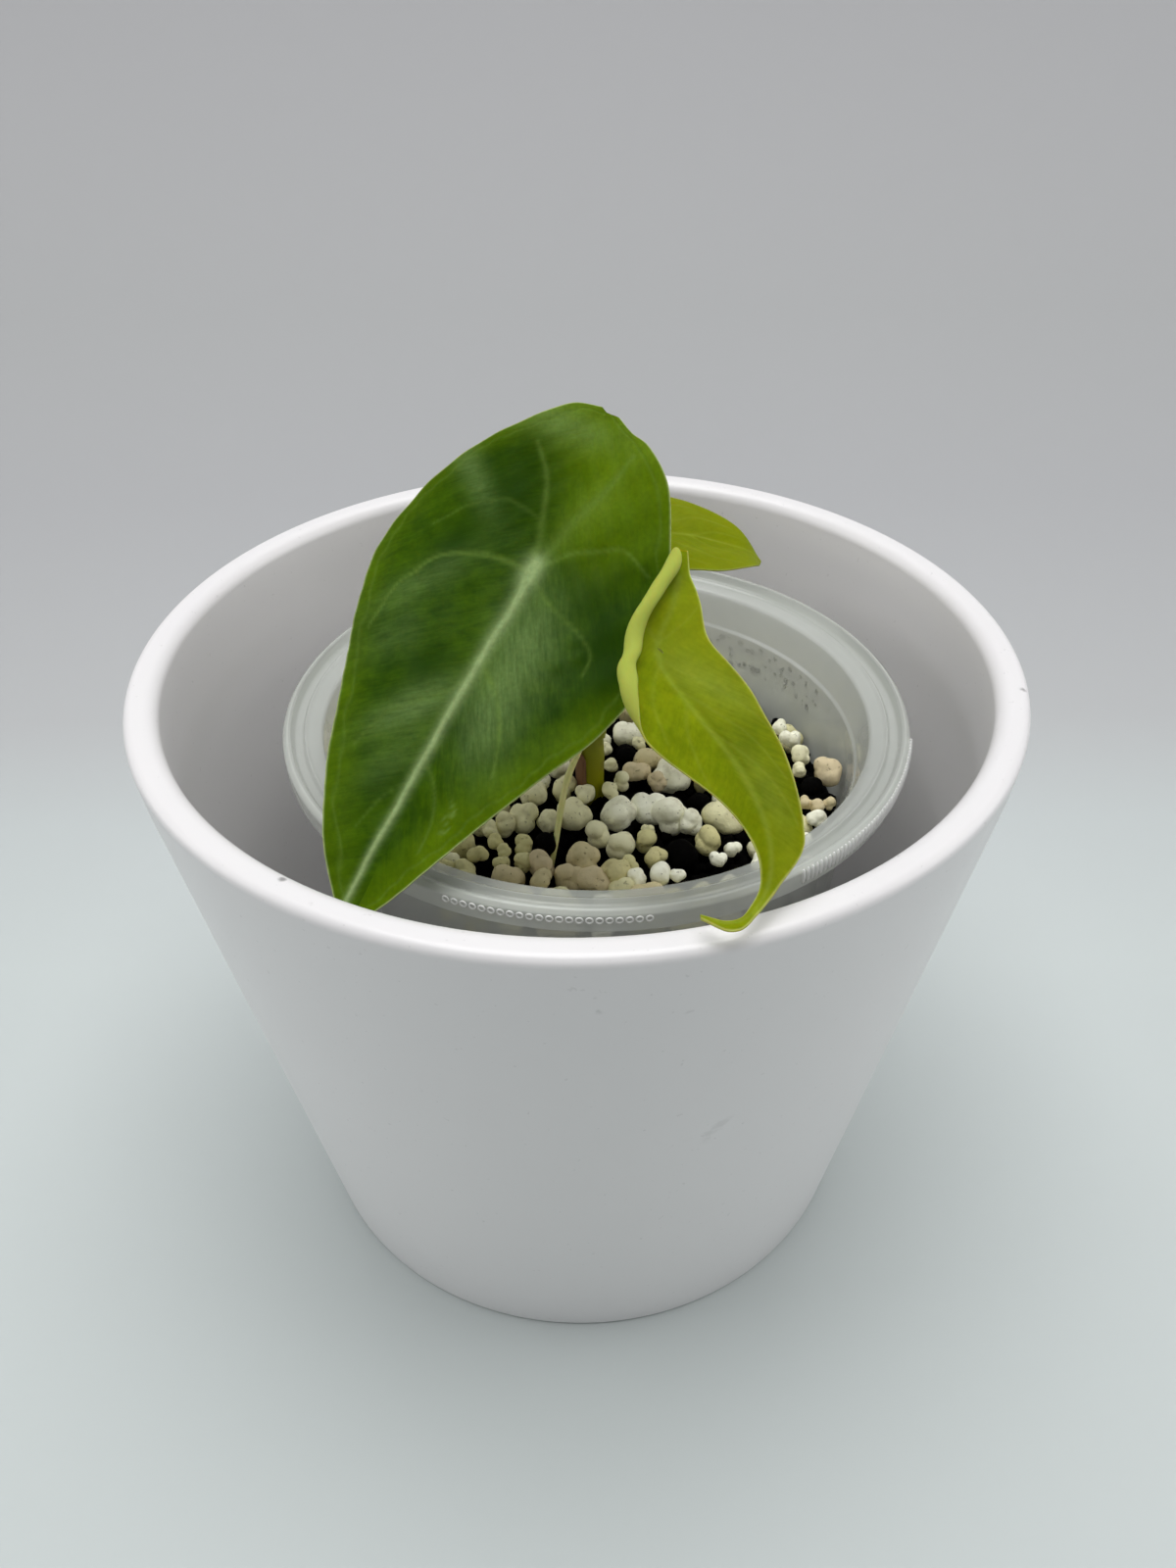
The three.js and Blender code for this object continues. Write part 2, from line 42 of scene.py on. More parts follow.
# Studio: a pale board that sweeps up behind the pot, soft light from above and from both sides,
# and the camera that looks down over the pot's front rim.
CAMERA_AT = Vector((0, -186.8, 239.2)) * MM
CAMERA_HEADING = math.radians(-0.561)
CAMERA_DIP = math.radians(37.73)
CAMERA_ROLL = math.radians(-0.281)
LENS = 27
FILM = 36
BOARD_FRONT = 3
BOARD_BEND_AT = 0.075
BOARD_BEND_R = 0.3
BOARD_WIDTH = 6
BOARD_FALLOFF_PER_METRE = 2.5
LIGHT_SIZE = 0.8
LIGHT_AIM = Vector((0, 0, 0.08))
SOFT_LIGHTS = {
    "light_above": ((0, 0, 1.1), 8.7),
    "light_left": ((-1.0, 0.1, 0.5), 3.5),
    "light_right": ((1.0, 0.1, 0.5), 3.4),
    "light_front": ((0, -1.2, 0.7), 1.8),
}
ROOM_LIGHT = 0.12
ROOM_COLOUR = (0.95, 0.98, 1, 1)

camera_data = bpy.data.cameras.new("camera")
camera_data.lens = LENS
camera_data.sensor_width = FILM
camera_data.clip_start = 0.01
camera = bpy.data.objects.new("camera", camera_data)
camera_turn = (
    Matrix.Rotation(CAMERA_HEADING, 3, "Z")
    @ Matrix.Rotation(math.pi / 2 - CAMERA_DIP, 3, "X")
    @ Matrix.Rotation(CAMERA_ROLL, 3, "Z")
)
camera.matrix_world = Matrix.Translation(CAMERA_AT) @ camera_turn.to_4x4()
bpy.context.scene.collection.objects.link(camera)
bpy.context.scene.camera = camera
bpy.context.scene.view_settings.view_transform = "Standard"


def new_piece(name, points, faces, smooth=True, edges=()):
    """A mesh object from points in mm and faces, or from edges alone."""
    mesh = bpy.data.meshes.new(name)
    mesh.from_pydata([tuple(p) for p in np.asarray(points) * MM], edges, faces)
    mesh.polygons.foreach_set("use_smooth", [smooth] * len(mesh.polygons))
    mesh.update()
    piece = bpy.data.objects.new(name, mesh)
    bpy.context.scene.collection.objects.link(piece)
    return piece


def paint(red, green, blue):
    """Scene colour of a screen colour in steps of 0 to 255."""
    shares = [c / 255 for c in (red, green, blue)]
    return (*[s / 12.92 if s < 0.04 else ((s + 0.055) / 1.055) ** 2.4 for s in shares], 1)


class Wire:
    """A node's output; the usual operators on it add Math nodes."""

    def __init__(self, nodes, socket):
        self.nodes = nodes
        self.socket = socket

    def math(self, operation, first, second):
        return self.nodes.add("ShaderNodeMath", {"operation": operation}, {0: first, 1: second})

    def __add__(self, other):
        return self.math("ADD", self, other)

    def __sub__(self, other):
        return self.math("SUBTRACT", self, other)

    def __rsub__(self, other):
        return self.math("SUBTRACT", other, self)

    def __mul__(self, other):
        return self.math("MULTIPLY", self, other)

    __radd__ = __add__
    __rmul__ = __mul__


class Nodes:
    """The nodes of one material or one Geometry Nodes tree."""

    def __init__(self, tree):
        self.tree = tree

    def add(self, kind, settings=None, inputs=None, output=0):
        """A node of a kind, with its settings, then its sockets' values or wires."""
        node = self.tree.nodes.new(kind)
        for name, value in (settings or {}).items():
            if name == "stops":
                for at, colour in value[:-2]:
                    node.color_ramp.elements.new(at)
                for stop, (at, colour) in zip(node.color_ramp.elements, value):
                    stop.position = at
                    stop.color = colour
            else:
                setattr(node, name, value)
        for name, value in (inputs or {}).items():
            if isinstance(value, Wire):
                self.tree.links.new(value.socket, node.inputs[name])
            else:
                node.inputs[name].default_value = value
        return Wire(self, node.outputs[output]) if node.outputs else None

    def mix(self, share, first, second, blend="MIX"):
        """Colour between two colours."""
        settings = {"data_type": "RGBA", "blend_type": blend}
        return self.add("ShaderNodeMix", settings, {0: share, 6: first, 7: second}, 2)

    def step(self, value, low, high):
        """0 under low, 1 over high, and a soft step between them."""
        settings = {"interpolation_type": "SMOOTHSTEP"}
        inputs = {"Value": value, "From Min": low, "From Max": high}
        return self.add("ShaderNodeMapRange", settings, inputs)

    def noise(self, where, scale, detail=3.0, roughness=0.55):
        inputs = {"Vector": where, "Scale": scale, "Detail": detail, "Roughness": roughness}
        return self.add("ShaderNodeTexNoise", {}, inputs)

    def bump(self, height, distance, strength=1.0, normal=None):
        inputs = {"Height": height, "Distance": distance, "Strength": strength}
        if normal:
            inputs["Normal"] = normal
        return self.add("ShaderNodeBump", {}, inputs)

    def place(self):
        return self.add("ShaderNodeTexCoord", output="Object")

    def along(self, axis, where):
        """One of a place's three coordinates."""
        return self.add("ShaderNodeSeparateXYZ", {}, {0: where}, axis)

    def stretched(self, where, factors):
        """A place with each coordinate multiplied, which draws a pattern out or in."""
        return self.add("ShaderNodeVectorMath", {"operation": "MULTIPLY"}, {0: where, 1: factors})

    def distance(self, where, spot):
        """How far a place is from a spot in mm."""
        inputs = {0: where, 1: Vector(spot) * MM}
        return self.add("ShaderNodeVectorMath", {"operation": "DISTANCE"}, inputs, "Value")

    def near(self, where, spot, radius):
        """1 near a spot in mm, falling to 0 at a radius in mm."""
        return 1 - self.step(self.distance(where, spot), 0.3 * radius * MM, radius * MM)

    def attribute(self, name, output="Fac"):
        return self.add("ShaderNodeAttribute", {"attribute_name": name}, output=output)


def new_material(name, build, **finish):
    """A material whose build function gives the sockets that vary over the surface."""
    material = bpy.data.materials.new(name)
    material.use_nodes = True
    material.node_tree.nodes.clear()
    nodes = Nodes(material.node_tree)
    sockets = {socket.replace("_", " "): value for socket, value in finish.items()}
    surface = nodes.add("ShaderNodeBsdfPrincipled", {}, {**sockets, **build(nodes)})
    nodes.add("ShaderNodeOutputMaterial", {}, {"Surface": surface})
    return material


# Painted light and shade: the board is painted lighter on the floor in front and darker over its
# bend and the wall behind, where less light falls on it.
def board_painted_falloff(nodes):
    tones = nodes.along("Y", nodes.place()) * BOARD_FALLOFF_PER_METRE
    stops = [
        (0.1, paint(202, 209, 208)),
        (0.25, paint(194, 200, 200)),
        (0.37, paint(183, 185, 186)),
        (0.6, paint(175, 176, 178)),
        (0.75, paint(175, 176, 177)),
        (0.9, paint(181, 181, 183)),
    ]
    return {"Base Color": nodes.add("ShaderNodeValToRGB", {"stops": stops}, {0: tones})}


def grid(rows, columns):
    """Faces of a sheet whose points come row by row."""
    across = columns + 1
    return [
        (i * across + j, i * across + j + 1, (i + 1) * across + j + 1, (i + 1) * across + j)
        for i in range(rows)
        for j in range(columns)
    ]


def board():
    bend = [math.radians(a) for a in range(0, 85, 4)]
    side = [(-BOARD_FRONT, 0), (-BOARD_FRONT / 2, 0), (-0.5, 0), (0, 0)]
    side += [
        (BOARD_BEND_AT + BOARD_BEND_R * math.sin(a), BOARD_BEND_R * (1 - math.cos(a))) for a in bend
    ]
    side += [(side[-1][0] + 0.2, side[-1][1] + 3)]
    points = [(x, y, z) for y, z in side for x in (-BOARD_WIDTH / 2, BOARD_WIDTH / 2)]
    return new_piece("board", np.array(points) / MM, grid(len(side) - 1, 1))


studio_board = board()
studio_board.data.materials.append(new_material("board", board_painted_falloff, Roughness=0.8))
for name, (at, watts) in SOFT_LIGHTS.items():
    data = bpy.data.lights.new(name, "AREA")
    data.size = LIGHT_SIZE
    data.energy = watts
    light = bpy.data.objects.new(name, data)
    light.rotation_euler = (LIGHT_AIM - Vector(at)).to_track_quat("-Z", "Y").to_euler()
    light.location = at
    bpy.context.scene.collection.objects.link(light)
world = bpy.data.worlds.new("room")
world.use_nodes = True
room = world.node_tree.nodes["Background"].inputs
room["Color"].default_value = ROOM_COLOUR
room["Strength"].default_value = ROOM_LIGHT
bpy.context.scene.world = world

# Cover pot: slip-cast white stoneware with a satin glaze, a straight taper and a thick, soft-edged
# lip. It stands on its flat foot, and holds the growing cup loose inside.
POT_RIM_R = 80
POT_HEIGHT = 127.4
POT_BASE_R = 62
POT_FLOOR = 6
POT_LIP = 5.8
POT_LIP_OUTER_R = 1.6
POT_LIP_INNER_R = 2.6
POT_LIP_DEPTH = 17
POT_FOOT_R = 1.2
POT_WALL = 4
POT_SIDES = 192
POT_TAPER = 18
INNER_WALL_R = 73.6
INNER_WALL_TAPER = 14.1
INNER_WALL_DEPTH = 103
SCUFF_AT = (20.8, -70.1, 78.1)
HAIRLINE_MARK_AT = (-32.7, -69.6, 105.2)
SMALL_MARK_AT = (2.5, -78.4, 116.3)
LIP_SPECKS = [(-42, -63.3, 127.2), (-36.8, -68.8, 127.2), (77, -16.9, 127.2)]


def arc(cx, cz, radius, start, end, steps):
    """Points of an arc in a profile, from one angle to another in degrees."""
    angles = np.radians(np.linspace(start, end, steps + 1))
    return [(cx + radius * math.cos(a), cz + radius * math.sin(a)) for a in angles]


def turned(name, profile, sides, centre=(0, 0), wobble=None):
    """A closed solid from a profile of (radius, height) that starts and ends on the axis."""
    angles = 2 * np.pi * np.arange(sides) / sides
    ring = np.stack([np.cos(angles), np.sin(angles)], 1)
    points = [(*centre, profile[0][1])]
    for r, z in profile[1:-1]:
        reach = r + (wobble(r, z, angles) if wobble else 0 * angles)
        points += [(centre[0] + q * x, centre[1] + q * y, z) for q, (x, y) in zip(reach, ring)]
    points.append((*centre, profile[-1][1]))
    last = len(points) - 1
    faces = []
    for k in range(sides):
        after = (k + 1) % sides
        faces.append((0, 1 + after, 1 + k))
        faces.append((last, last - sides + k, last - sides + after))
        for i in range(len(profile) - 3):
            low = 1 + i * sides
            faces.append((low + k, low + after, low + sides + after, low + sides + k))
    return new_piece(name, points, faces)


def pot_wobble(r, z, angles):
    """The cast wall is a little uneven: two or three very shallow waves."""
    height = z / POT_HEIGHT
    return 0.12 * np.sin(2 * angles + 1.3) * height + 0.06 * np.sin(5 * angles + 3 * height)


def glaze_finish(nodes):
    where = nodes.place()
    cloudy = nodes.noise(where, 22.0, 4.0)
    white = nodes.mix(cloudy, paint(232, 230, 231), paint(237, 235, 235))
    pinholes = nodes.step(nodes.noise(where, 900.0, 1.0), 0.735, 0.78)
    grime = nodes.step(nodes.noise(where, 260.0, 3.0), 0.5, 0.62)
    scuff = nodes.near(where, SCUFF_AT, 6) * grime * 0.12
    hairline = nodes.near(where, HAIRLINE_MARK_AT, 1.3) * grime * 0.55
    small = nodes.near(where, SMALL_MARK_AT, 1.1) * grime * 0.25
    specks = sum(nodes.near(where, spot, 0.9) * grime for spot in LIP_SPECKS)
    worn = pinholes * 0.12 + scuff + hairline + small + specks * 0.7
    height = nodes.noise(where, 60.0, 5.0) * 0.5 + nodes.noise(where, 700.0, 2.0) * 0.06
    return {
        "Base Color": nodes.mix(worn, white, paint(96, 94, 92)),
        "Roughness": 0.34 + cloudy * 0.14 + worn * 0.2,
        "Normal": nodes.bump(height - worn * 0.4, 0.00012, 0.6),
    }


lip_inner_r = POT_RIM_R - POT_LIP + POT_LIP_INNER_R
pot_profile = [
    (0, 0),
    (POT_BASE_R - 12, 0),
    *arc(POT_BASE_R - POT_FOOT_R, POT_FOOT_R, POT_FOOT_R, -90, -8, 6),
    *[
        (POT_BASE_R + POT_TAPER * f, POT_FOOT_R + (POT_HEIGHT - 4.5) * f)
        for f in np.linspace(0.04, 0.97, 24)
    ],
    *arc(POT_RIM_R - POT_LIP_OUTER_R, POT_HEIGHT - POT_LIP_OUTER_R, POT_LIP_OUTER_R, -8, 90, 8),
    *arc(lip_inner_r, POT_HEIGHT - POT_LIP_INNER_R, POT_LIP_INNER_R, 90, 178, 10),
    (73.9, 118),
    *[
        (INNER_WALL_R - INNER_WALL_TAPER * f, POT_HEIGHT - POT_LIP_DEPTH - INNER_WALL_DEPTH * f)
        for f in np.linspace(0, 0.97, 16)
    ],
    *arc(POT_BASE_R - POT_WALL - 1.5, POT_FLOOR + 3, 3, 0, -90, 5),
    (20, POT_FLOOR),
    (0, POT_FLOOR),
]
cover_pot = turned("cover_pot_glazed", pot_profile, POT_SIDES, wobble=pot_wobble)
satin_glaze = new_material("satin_glaze", glaze_finish, Coat_Weight=0.3, Coat_Roughness=0.2)
cover_pot.data.materials.append(satin_glaze)
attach(cover_pot, "root")
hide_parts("cover_pot")

# Growing cup: a thin, milky clear plastic cup with a stacking step, a sloping ledge, a lid groove
# and a short skirt. A row of small rings and a run of fine ribs are moulded on the skirt.
CUP_AT = (3.4, -0.1)
CUP_RIM_Z = 115.3
CUP_RIM_R = 58.5
CUP_BOTTOM_R = 44
CUP_WALL = 0.9
CUP_STEP_R = 49.4
CUP_STEP_Z = CUP_RIM_Z - 9
CUP_FLOOR = POT_FLOOR + 0.3
CUP_SIDES = 224
STEP_FADE = (0.1, 0.104)
SKIRT_FADE = (0.0573, 0.0576)


def eased(profile, share=0.3, most=0.6, steps=3):
    """A profile whose corners are rounded off."""
    soft = [profile[0]]
    for before, corner, after in zip(profile, profile[1:], profile[2:]):
        before, corner, after = (np.array(p, float) for p in (before, corner, after))
        long_before, long_after = (np.linalg.norm(p - corner) for p in (before, after))
        reach = min(most, share * long_before, share * long_after)
        start = corner + (before - corner) / long_before * reach
        end = corner + (after - corner) / long_after * reach
        for f in np.linspace(0, 1, steps + 1):
            soft.append(tuple((1 - f) ** 2 * start + 2 * f * (1 - f) * corner + f**2 * end))
    return [*soft, profile[-1]]


def cup_inside(z):
    """Inside radius of the cup's tapered wall."""
    return float(np.interp(z, [CUP_FLOOR, CUP_STEP_Z], [CUP_BOTTOM_R - CUP_WALL, CUP_STEP_R]))


def plastic_finish(nodes):
    where = nodes.place()
    height = nodes.noise(where, 90.0, 2.0) + nodes.noise(where, 500.0, 2.0) * 0.2
    cloudy = nodes.noise(where, 60.0, 3.0)
    above_step = nodes.step(nodes.along("Z", where), *STEP_FADE)
    from_middle = nodes.distance(where, (*CUP_AT, CUP_RIM_Z - 2.5))
    skirt = nodes.step(from_middle, *SKIRT_FADE) * above_step
    return {
        "Alpha": 0.56 + cloudy * 0.05 - above_step * 0.12 + skirt * 0.2,
        "Roughness": 0.16 + nodes.noise(where, 200.0, 3.0) * 0.14,
        "Normal": nodes.bump(height, 0.0001, 0.4),
    }


z = CUP_RIM_Z
cup_profile = [
    (0, CUP_FLOOR),
    (CUP_BOTTOM_R - 1.5, CUP_FLOOR),
    (CUP_BOTTOM_R, CUP_FLOOR + 1.5),
    (CUP_STEP_R + CUP_WALL, CUP_STEP_Z - 0.6),
    (CUP_STEP_R + CUP_WALL + 0.5, CUP_STEP_Z + 0.2),
    (51.9, z - 2.9),
    (54.1, z - 2.2),
    (55, z - 2.6),
    (56.6, z - 2.5),
    (57.6, z - 1.2),
    (57.7, z - 4),
    (CUP_RIM_R, z - 4),
    (CUP_RIM_R, z - 0.7),
    (57.7, z),
    (57, z),
    (56.3, z - 1.5),
    (55, z - 1.6),
    (54.4, z - 0.7),
    (53.8, z - 1.1),
    (51.3, z - 1.7),
    (CUP_STEP_R + 0.5, CUP_STEP_Z + 0.6),
    (CUP_STEP_R, CUP_STEP_Z),
    (CUP_BOTTOM_R - CUP_WALL, CUP_FLOOR + 1.8),
    (CUP_BOTTOM_R - 2, CUP_FLOOR + CUP_WALL),
    (0, CUP_FLOOR + CUP_WALL),
]
cup = turned("growing_cup_clear", eased(cup_profile), CUP_SIDES, CUP_AT)
milky_plastic = new_material(
    "milky_plastic", plastic_finish, Base_Color=paint(208, 212, 205), IOR=1.49, Coat_Weight=0.5
)
cup.data.materials.append(milky_plastic)
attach(cup, "root")
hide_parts("growing_cup")

# Growing mix: damp black charcoal and bark, which fill the cup to a finger's breadth under its
# step. This is the plain bed under the loose lumps. It dips a little towards its back right.
MIX_TOP_Z = 94.6
MIX_SIDES = 96
MIX_DIP = 5
DIP_START = 18
DIP_LENGTH = 26


def hollow(x, y):
    """How far, in mm, the top of the mix dips towards its back right."""
    return MIX_DIP * np.clip((x + y - DIP_START) / DIP_LENGTH, 0, 1)


def two_toned(nodes, pattern, dark, light, dullness, depth, strength):
    """A finish whose colour, roughness and bump all follow one pattern."""
    return {
        "Base Color": nodes.mix(pattern, paint(*dark), paint(*light)),
        "Roughness": dullness + pattern * 0.2,
        "Normal": nodes.bump(pattern, depth, strength),
    }


def charcoal_finish(nodes):
    rough = nodes.noise(nodes.place(), 500.0, 5.0)
    return two_toned(nodes, rough, (1, 1, 1), (8, 7, 6), 0.75, 0.0005, 0.7)


mix_profile = [
    (0, CUP_FLOOR + CUP_WALL + 0.3),
    (CUP_BOTTOM_R - 3, CUP_FLOOR + CUP_WALL + 0.3),
    (cup_inside(CUP_FLOOR + 3) - 0.3, CUP_FLOOR + CUP_WALL + 2.3),
    *[(cup_inside(h) - 0.3, h) for h in (30, 60, MIX_TOP_Z - 0.6)],
    *[(r, MIX_TOP_Z) for r in range(47, 1, -2)],
    (0, MIX_TOP_Z),
]
mix = turned("charcoal_bed", mix_profile, MIX_SIDES, CUP_AT)
for corner in mix.data.vertices:
    if corner.co.z > (MIX_TOP_Z - 1) * MM:
        corner.co.z -= hollow(corner.co.x / MM, corner.co.y / MM) * MM
dry_charcoal = new_material("dry_charcoal", charcoal_finish, Specular_IOR_Level=0.03)
mix.data.materials.append(dry_charcoal)
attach(mix, "root")
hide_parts("charcoal_mix")

# Loose lumps on top: perlite popped like corn, pale pumice, and black charcoal, each lying where
# the photo shows it, given by its pixel and its radius in mm. The part of the top that the leaves
# hide is strewn by a rule.
PHOTO_WIDTH = 1200
PHOTO_HEIGHT = 1600
LUMP_CREST_Z = 99.5
LUMP_SINK = 0.35
LUMP_SWELL = 1.08
KNOB_REACH = 0.62
KNOB_SIZES = (0.63, 0.84)
KNOB_BLEND = 16
LUMP_RIPPLE = 0.07
WHITE_LUMPS = [
    (639, 746, 3.1), (686, 792, 3.8), (634, 829, 3.6), (664, 822, 3.3), (686, 834, 3.7),
    (704, 839, 2.3), (733, 876, 1.5), (748, 865, 1.6), (807, 753, 2.0), (833, 836, 1.8),
    (676, 896, 2.5), (648, 896, 1.9), (797, 742, 1.7), (691, 893, 1.4),
]
CREAM_LUMPS = [
    (617, 765, 1.5), (625, 780, 1.6), (635, 797, 1.8), (652, 758, 1.4), (623, 808, 1.7),
    (738, 835, 3.9), (612, 850, 2.8), (632, 862, 2.7), (575, 805, 2.6), (596, 810, 2.0),
    (585, 830, 3.2), (559, 837, 2.0), (547, 811, 2.7), (534, 835, 3.0), (513, 841, 2.4),
    (500, 846, 1.7), (816, 770, 2.2), (815, 785, 1.6), (662, 846, 1.3),
]
GREEN_LUMPS = [
    (722, 858, 2.4), (628, 890, 2.9), (505, 860, 1.6), (514, 869, 1.4), (511, 881, 1.5),
    (533, 863, 1.9), (533, 881, 1.9), (488, 872, 1.8), (474, 889, 2.0), (455, 885, 1.4),
    (645, 881, 1.8), (670, 876, 2.0), (658, 858, 2.1),
]
PINK_LUMPS = [
    (650, 789, 2.4), (670, 797, 2.1), (598, 878, 3.2), (606, 897, 2.9), (842, 789, 3.1),
    (822, 819, 1.4), (834, 822, 1.4), (847, 820, 1.4), (554, 884, 2.6), (581, 896, 2.6),
    (554, 900, 2.2), (519, 898, 3.0),
]
BLACK_LUMPS = [(712, 814, 2.3), (695, 872, 3.0), (826, 803, 2.2), (640, 770, 2.4), (560, 860, 2.4)]
WHITE, CREAM, GREEN, PINK = 0.05, 0.35, 0.65, 0.95
# Rounds of the top, as x, y and radius in mm, that the camera sees between the leaves and over the
# cup's edge: nothing but the lumps above lies there.
IN_SIGHT = [
    (2, -20, 17), (20, -21, 15), (-15, -31, 8), (5, -2, 9), (45, 2, 8), (46, -9, 7), (12, 9, 5),
]


def seen_at(px, py, height):
    """Point, in mm, at a height in mm that the camera sees at a pixel of the photo."""
    pixels = LENS / FILM * PHOTO_HEIGHT
    across = (px - PHOTO_WIDTH / 2) / pixels
    upward = (PHOTO_HEIGHT / 2 - py) / pixels
    ray = camera_turn @ Vector((across, upward, -1))
    return np.array((CAMERA_AT + ray * ((height * MM - CAMERA_AT.z) / ray.z)) / MM)


def ball(level):
    """Points and faces of a ball of radius 1 made of near-equal triangles."""
    made = bmesh.new()
    bmesh.ops.create_icosphere(made, subdivisions=level, radius=1)
    points = np.array([v.co for v in made.verts])
    faces = np.array([[v.index for v in f.verts] for f in made.faces])
    made.free()
    return points, faces


def popped(points, dice, knobs, spread):
    """A lump of a few round knobs grown together, with creases between them."""
    reach = np.zeros(len(points))
    stretch = dice.uniform(0.5, 1.5, 3)
    for _ in range(knobs):
        middle = dice.normal(size=3) * spread * stretch
        middle *= min(1, KNOB_REACH / np.linalg.norm(middle))
        size = dice.uniform(*KNOB_SIZES)
        along = points @ middle
        reach += (along + np.sqrt(size**2 - middle @ middle + along**2)) ** KNOB_BLEND
    reach = (reach / 2) ** (1 / KNOB_BLEND)
    ripple = np.sin(points @ dice.uniform(-9, 9, (3, 8)) + dice.uniform(0, 6, 8)).mean(1)
    shape = points * (reach + LUMP_RIPPLE * ripple)[:, None]
    return shape / np.abs(shape).max(0).mean()


def lumps_seen(name, groups, level, knobs, spread):
    """Every lump of the groups at its place, with its tone in an attribute."""
    sphere, triangles = ball(level)
    dice = np.random.default_rng(7)
    points, faces, tones = [], [], []
    for tone, places in groups.items():
        for px, py, radius in places:
            shape = popped(sphere, dice, knobs, spread)
            height = LUMP_CREST_Z - LUMP_SINK * radius
            faces.append(triangles + sum(len(p) for p in points))
            points.append(seen_at(px, py, height) + shape * radius * LUMP_SWELL)
            tones.append(np.full(len(sphere), tone + dice.uniform(-0.08, 0.08)))
    piece = new_piece(name, np.vstack(points), np.vstack(faces).tolist())
    tone = piece.data.attributes.new("tone", "FLOAT", "POINT")
    tone.data.foreach_set("value", np.hstack(tones))
    return piece


def perlite_finish(nodes):
    where = nodes.place()
    stops = [
        (0.0, paint(254, 254, 236)),
        (0.35, paint(236, 232, 190)),
        (0.65, paint(212, 206, 150)),
        (1.0, paint(218, 202, 166)),
    ]
    body = nodes.add("ShaderNodeValToRGB", {"stops": stops}, {0: nodes.attribute("tone")})
    pores = nodes.noise(where, 1500.0, 4.0, 0.7)
    stain = nodes.step(nodes.noise(where, 320.0, 4.0), 0.5, 0.75)
    pits = nodes.step(nodes.noise(where, 1300.0, 1.0), 0.66, 0.74)
    stained = nodes.mix(stain * 0.4, body, paint(158, 146, 108))
    height = pores * 0.4 + nodes.noise(where, 500.0, 4.0) - pits * 0.5
    return {
        "Base Color": nodes.mix(pits * 0.4, stained, paint(92, 80, 58)),
        "Roughness": 0.8 + pores * 0.15,
        "Normal": nodes.bump(height, 0.0004, 0.7),
    }


popped_perlite = new_material("popped_perlite", perlite_finish, Specular_IOR_Level=0.2)
pale_groups = {WHITE: WHITE_LUMPS, CREAM: CREAM_LUMPS, GREEN: GREEN_LUMPS, PINK: PINK_LUMPS}
perlite = lumps_seen("perlite_on_top", pale_groups, level=4, knobs=8, spread=0.5)
perlite.data.materials.append(popped_perlite)
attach(perlite, "root")
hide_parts("perlite_grains")
black_lumps = lumps_seen("charcoal_lumps", {0: BLACK_LUMPS}, level=3, knobs=4, spread=0.3)
black_lumps.data.materials.append(dry_charcoal)
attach(black_lumps, "root")


def new_tree(name, **inputs):
    """A Geometry Nodes tree with named inputs of each kind, and its Nodes and input wires."""
    tree = bpy.data.node_groups.new(name, "GeometryNodeTree")
    tree.interface.new_socket(name="Geometry", in_out="OUTPUT", socket_type="NodeSocketGeometry")
    for kind, names in {**inputs, "Material": "Material"}.items():
        for socket in names.split():
            tree.interface.new_socket(name=socket, in_out="INPUT", socket_type="NodeSocket" + kind)
    nodes = Nodes(tree)
    group = nodes.add("NodeGroupInput").socket.node
    given = {socket.name: Wire(nodes, socket) for socket in group.outputs if socket.name}
    return tree, nodes, given


def set_out(nodes, points, shape, turn, size=(1, 1, 1)):
    """A copy of a shape on each point, turned and sized."""
    inputs = {"Points": points, "Instance": shape, "Rotation": turn, "Scale": size}
    return nodes.add("GeometryNodeInstanceOnPoints", {}, inputs)


def shape_of(nodes, pattern):
    """The mesh of a pattern object."""
    inputs = {"Object": pattern, "As Instance": True}
    return nodes.add("GeometryNodeObjectInfo", {}, inputs, "Geometry")


def between(nodes, low, high, seed):
    """A random number for each point."""
    inputs = {2: low, 3: high, "Seed": seed}
    return nodes.add("FunctionNodeRandomValue", {"data_type": "FLOAT"}, inputs, 1)


def end_tree(nodes, geometry, material):
    """Every tree ends in real meshes with smooth faces and a material."""
    real = nodes.add("GeometryNodeRealizeInstances", {}, {"Geometry": geometry})
    smooth = nodes.add("GeometryNodeSetShadeSmooth", {}, {"Geometry": real})
    done = nodes.add("GeometryNodeSetMaterial", {}, {"Geometry": smooth, "Material": material})
    nodes.add("NodeGroupOutput", {}, {"Geometry": done})


def grown(piece, tree, **values):
    """The piece with the tree run on it and its result kept as a plain mesh."""
    modifier = piece.modifiers.new("grown", "NODES")
    modifier.node_group = tree
    for item in tree.interface.items_tree:
        if item.in_out == "INPUT" and item.name in values:
            modifier[item.identifier] = values[item.name]
    graph = bpy.context.evaluated_depsgraph_get()
    mesh = bpy.data.meshes.new_from_object(piece.evaluated_get(graph))
    piece.modifiers.clear()
    piece.data = mesh
    return piece


def strewn_tree():
    """A stone on each point, turned and sized at random."""
    tree, nodes, given = new_tree(
        "strewn_stones", Geometry="Points", Object="Stone", Float="Smallest Largest", Int="Seed"
    )
    angles = {0: (0, 0, 0), 1: (6.28, 6.28, 6.28), "Seed": given["Seed"]}
    turn = nodes.add("FunctionNodeRandomValue", {"data_type": "FLOAT_VECTOR"}, angles)
    size = between(nodes, given["Smallest"], given["Largest"], given["Seed"])
    tone = between(nodes, 0.0, 0.9, given["Seed"])
    placed = set_out(nodes, given["Points"], shape_of(nodes, given["Stone"]), turn, size)
    toned = nodes.add(
        "GeometryNodeStoreNamedAttribute",
        {"data_type": "FLOAT", "domain": "INSTANCE"},
        {"Geometry": placed, "Name": "tone", "Value": tone},
    )
    end_tree(nodes, toned, given["Material"])
    return tree


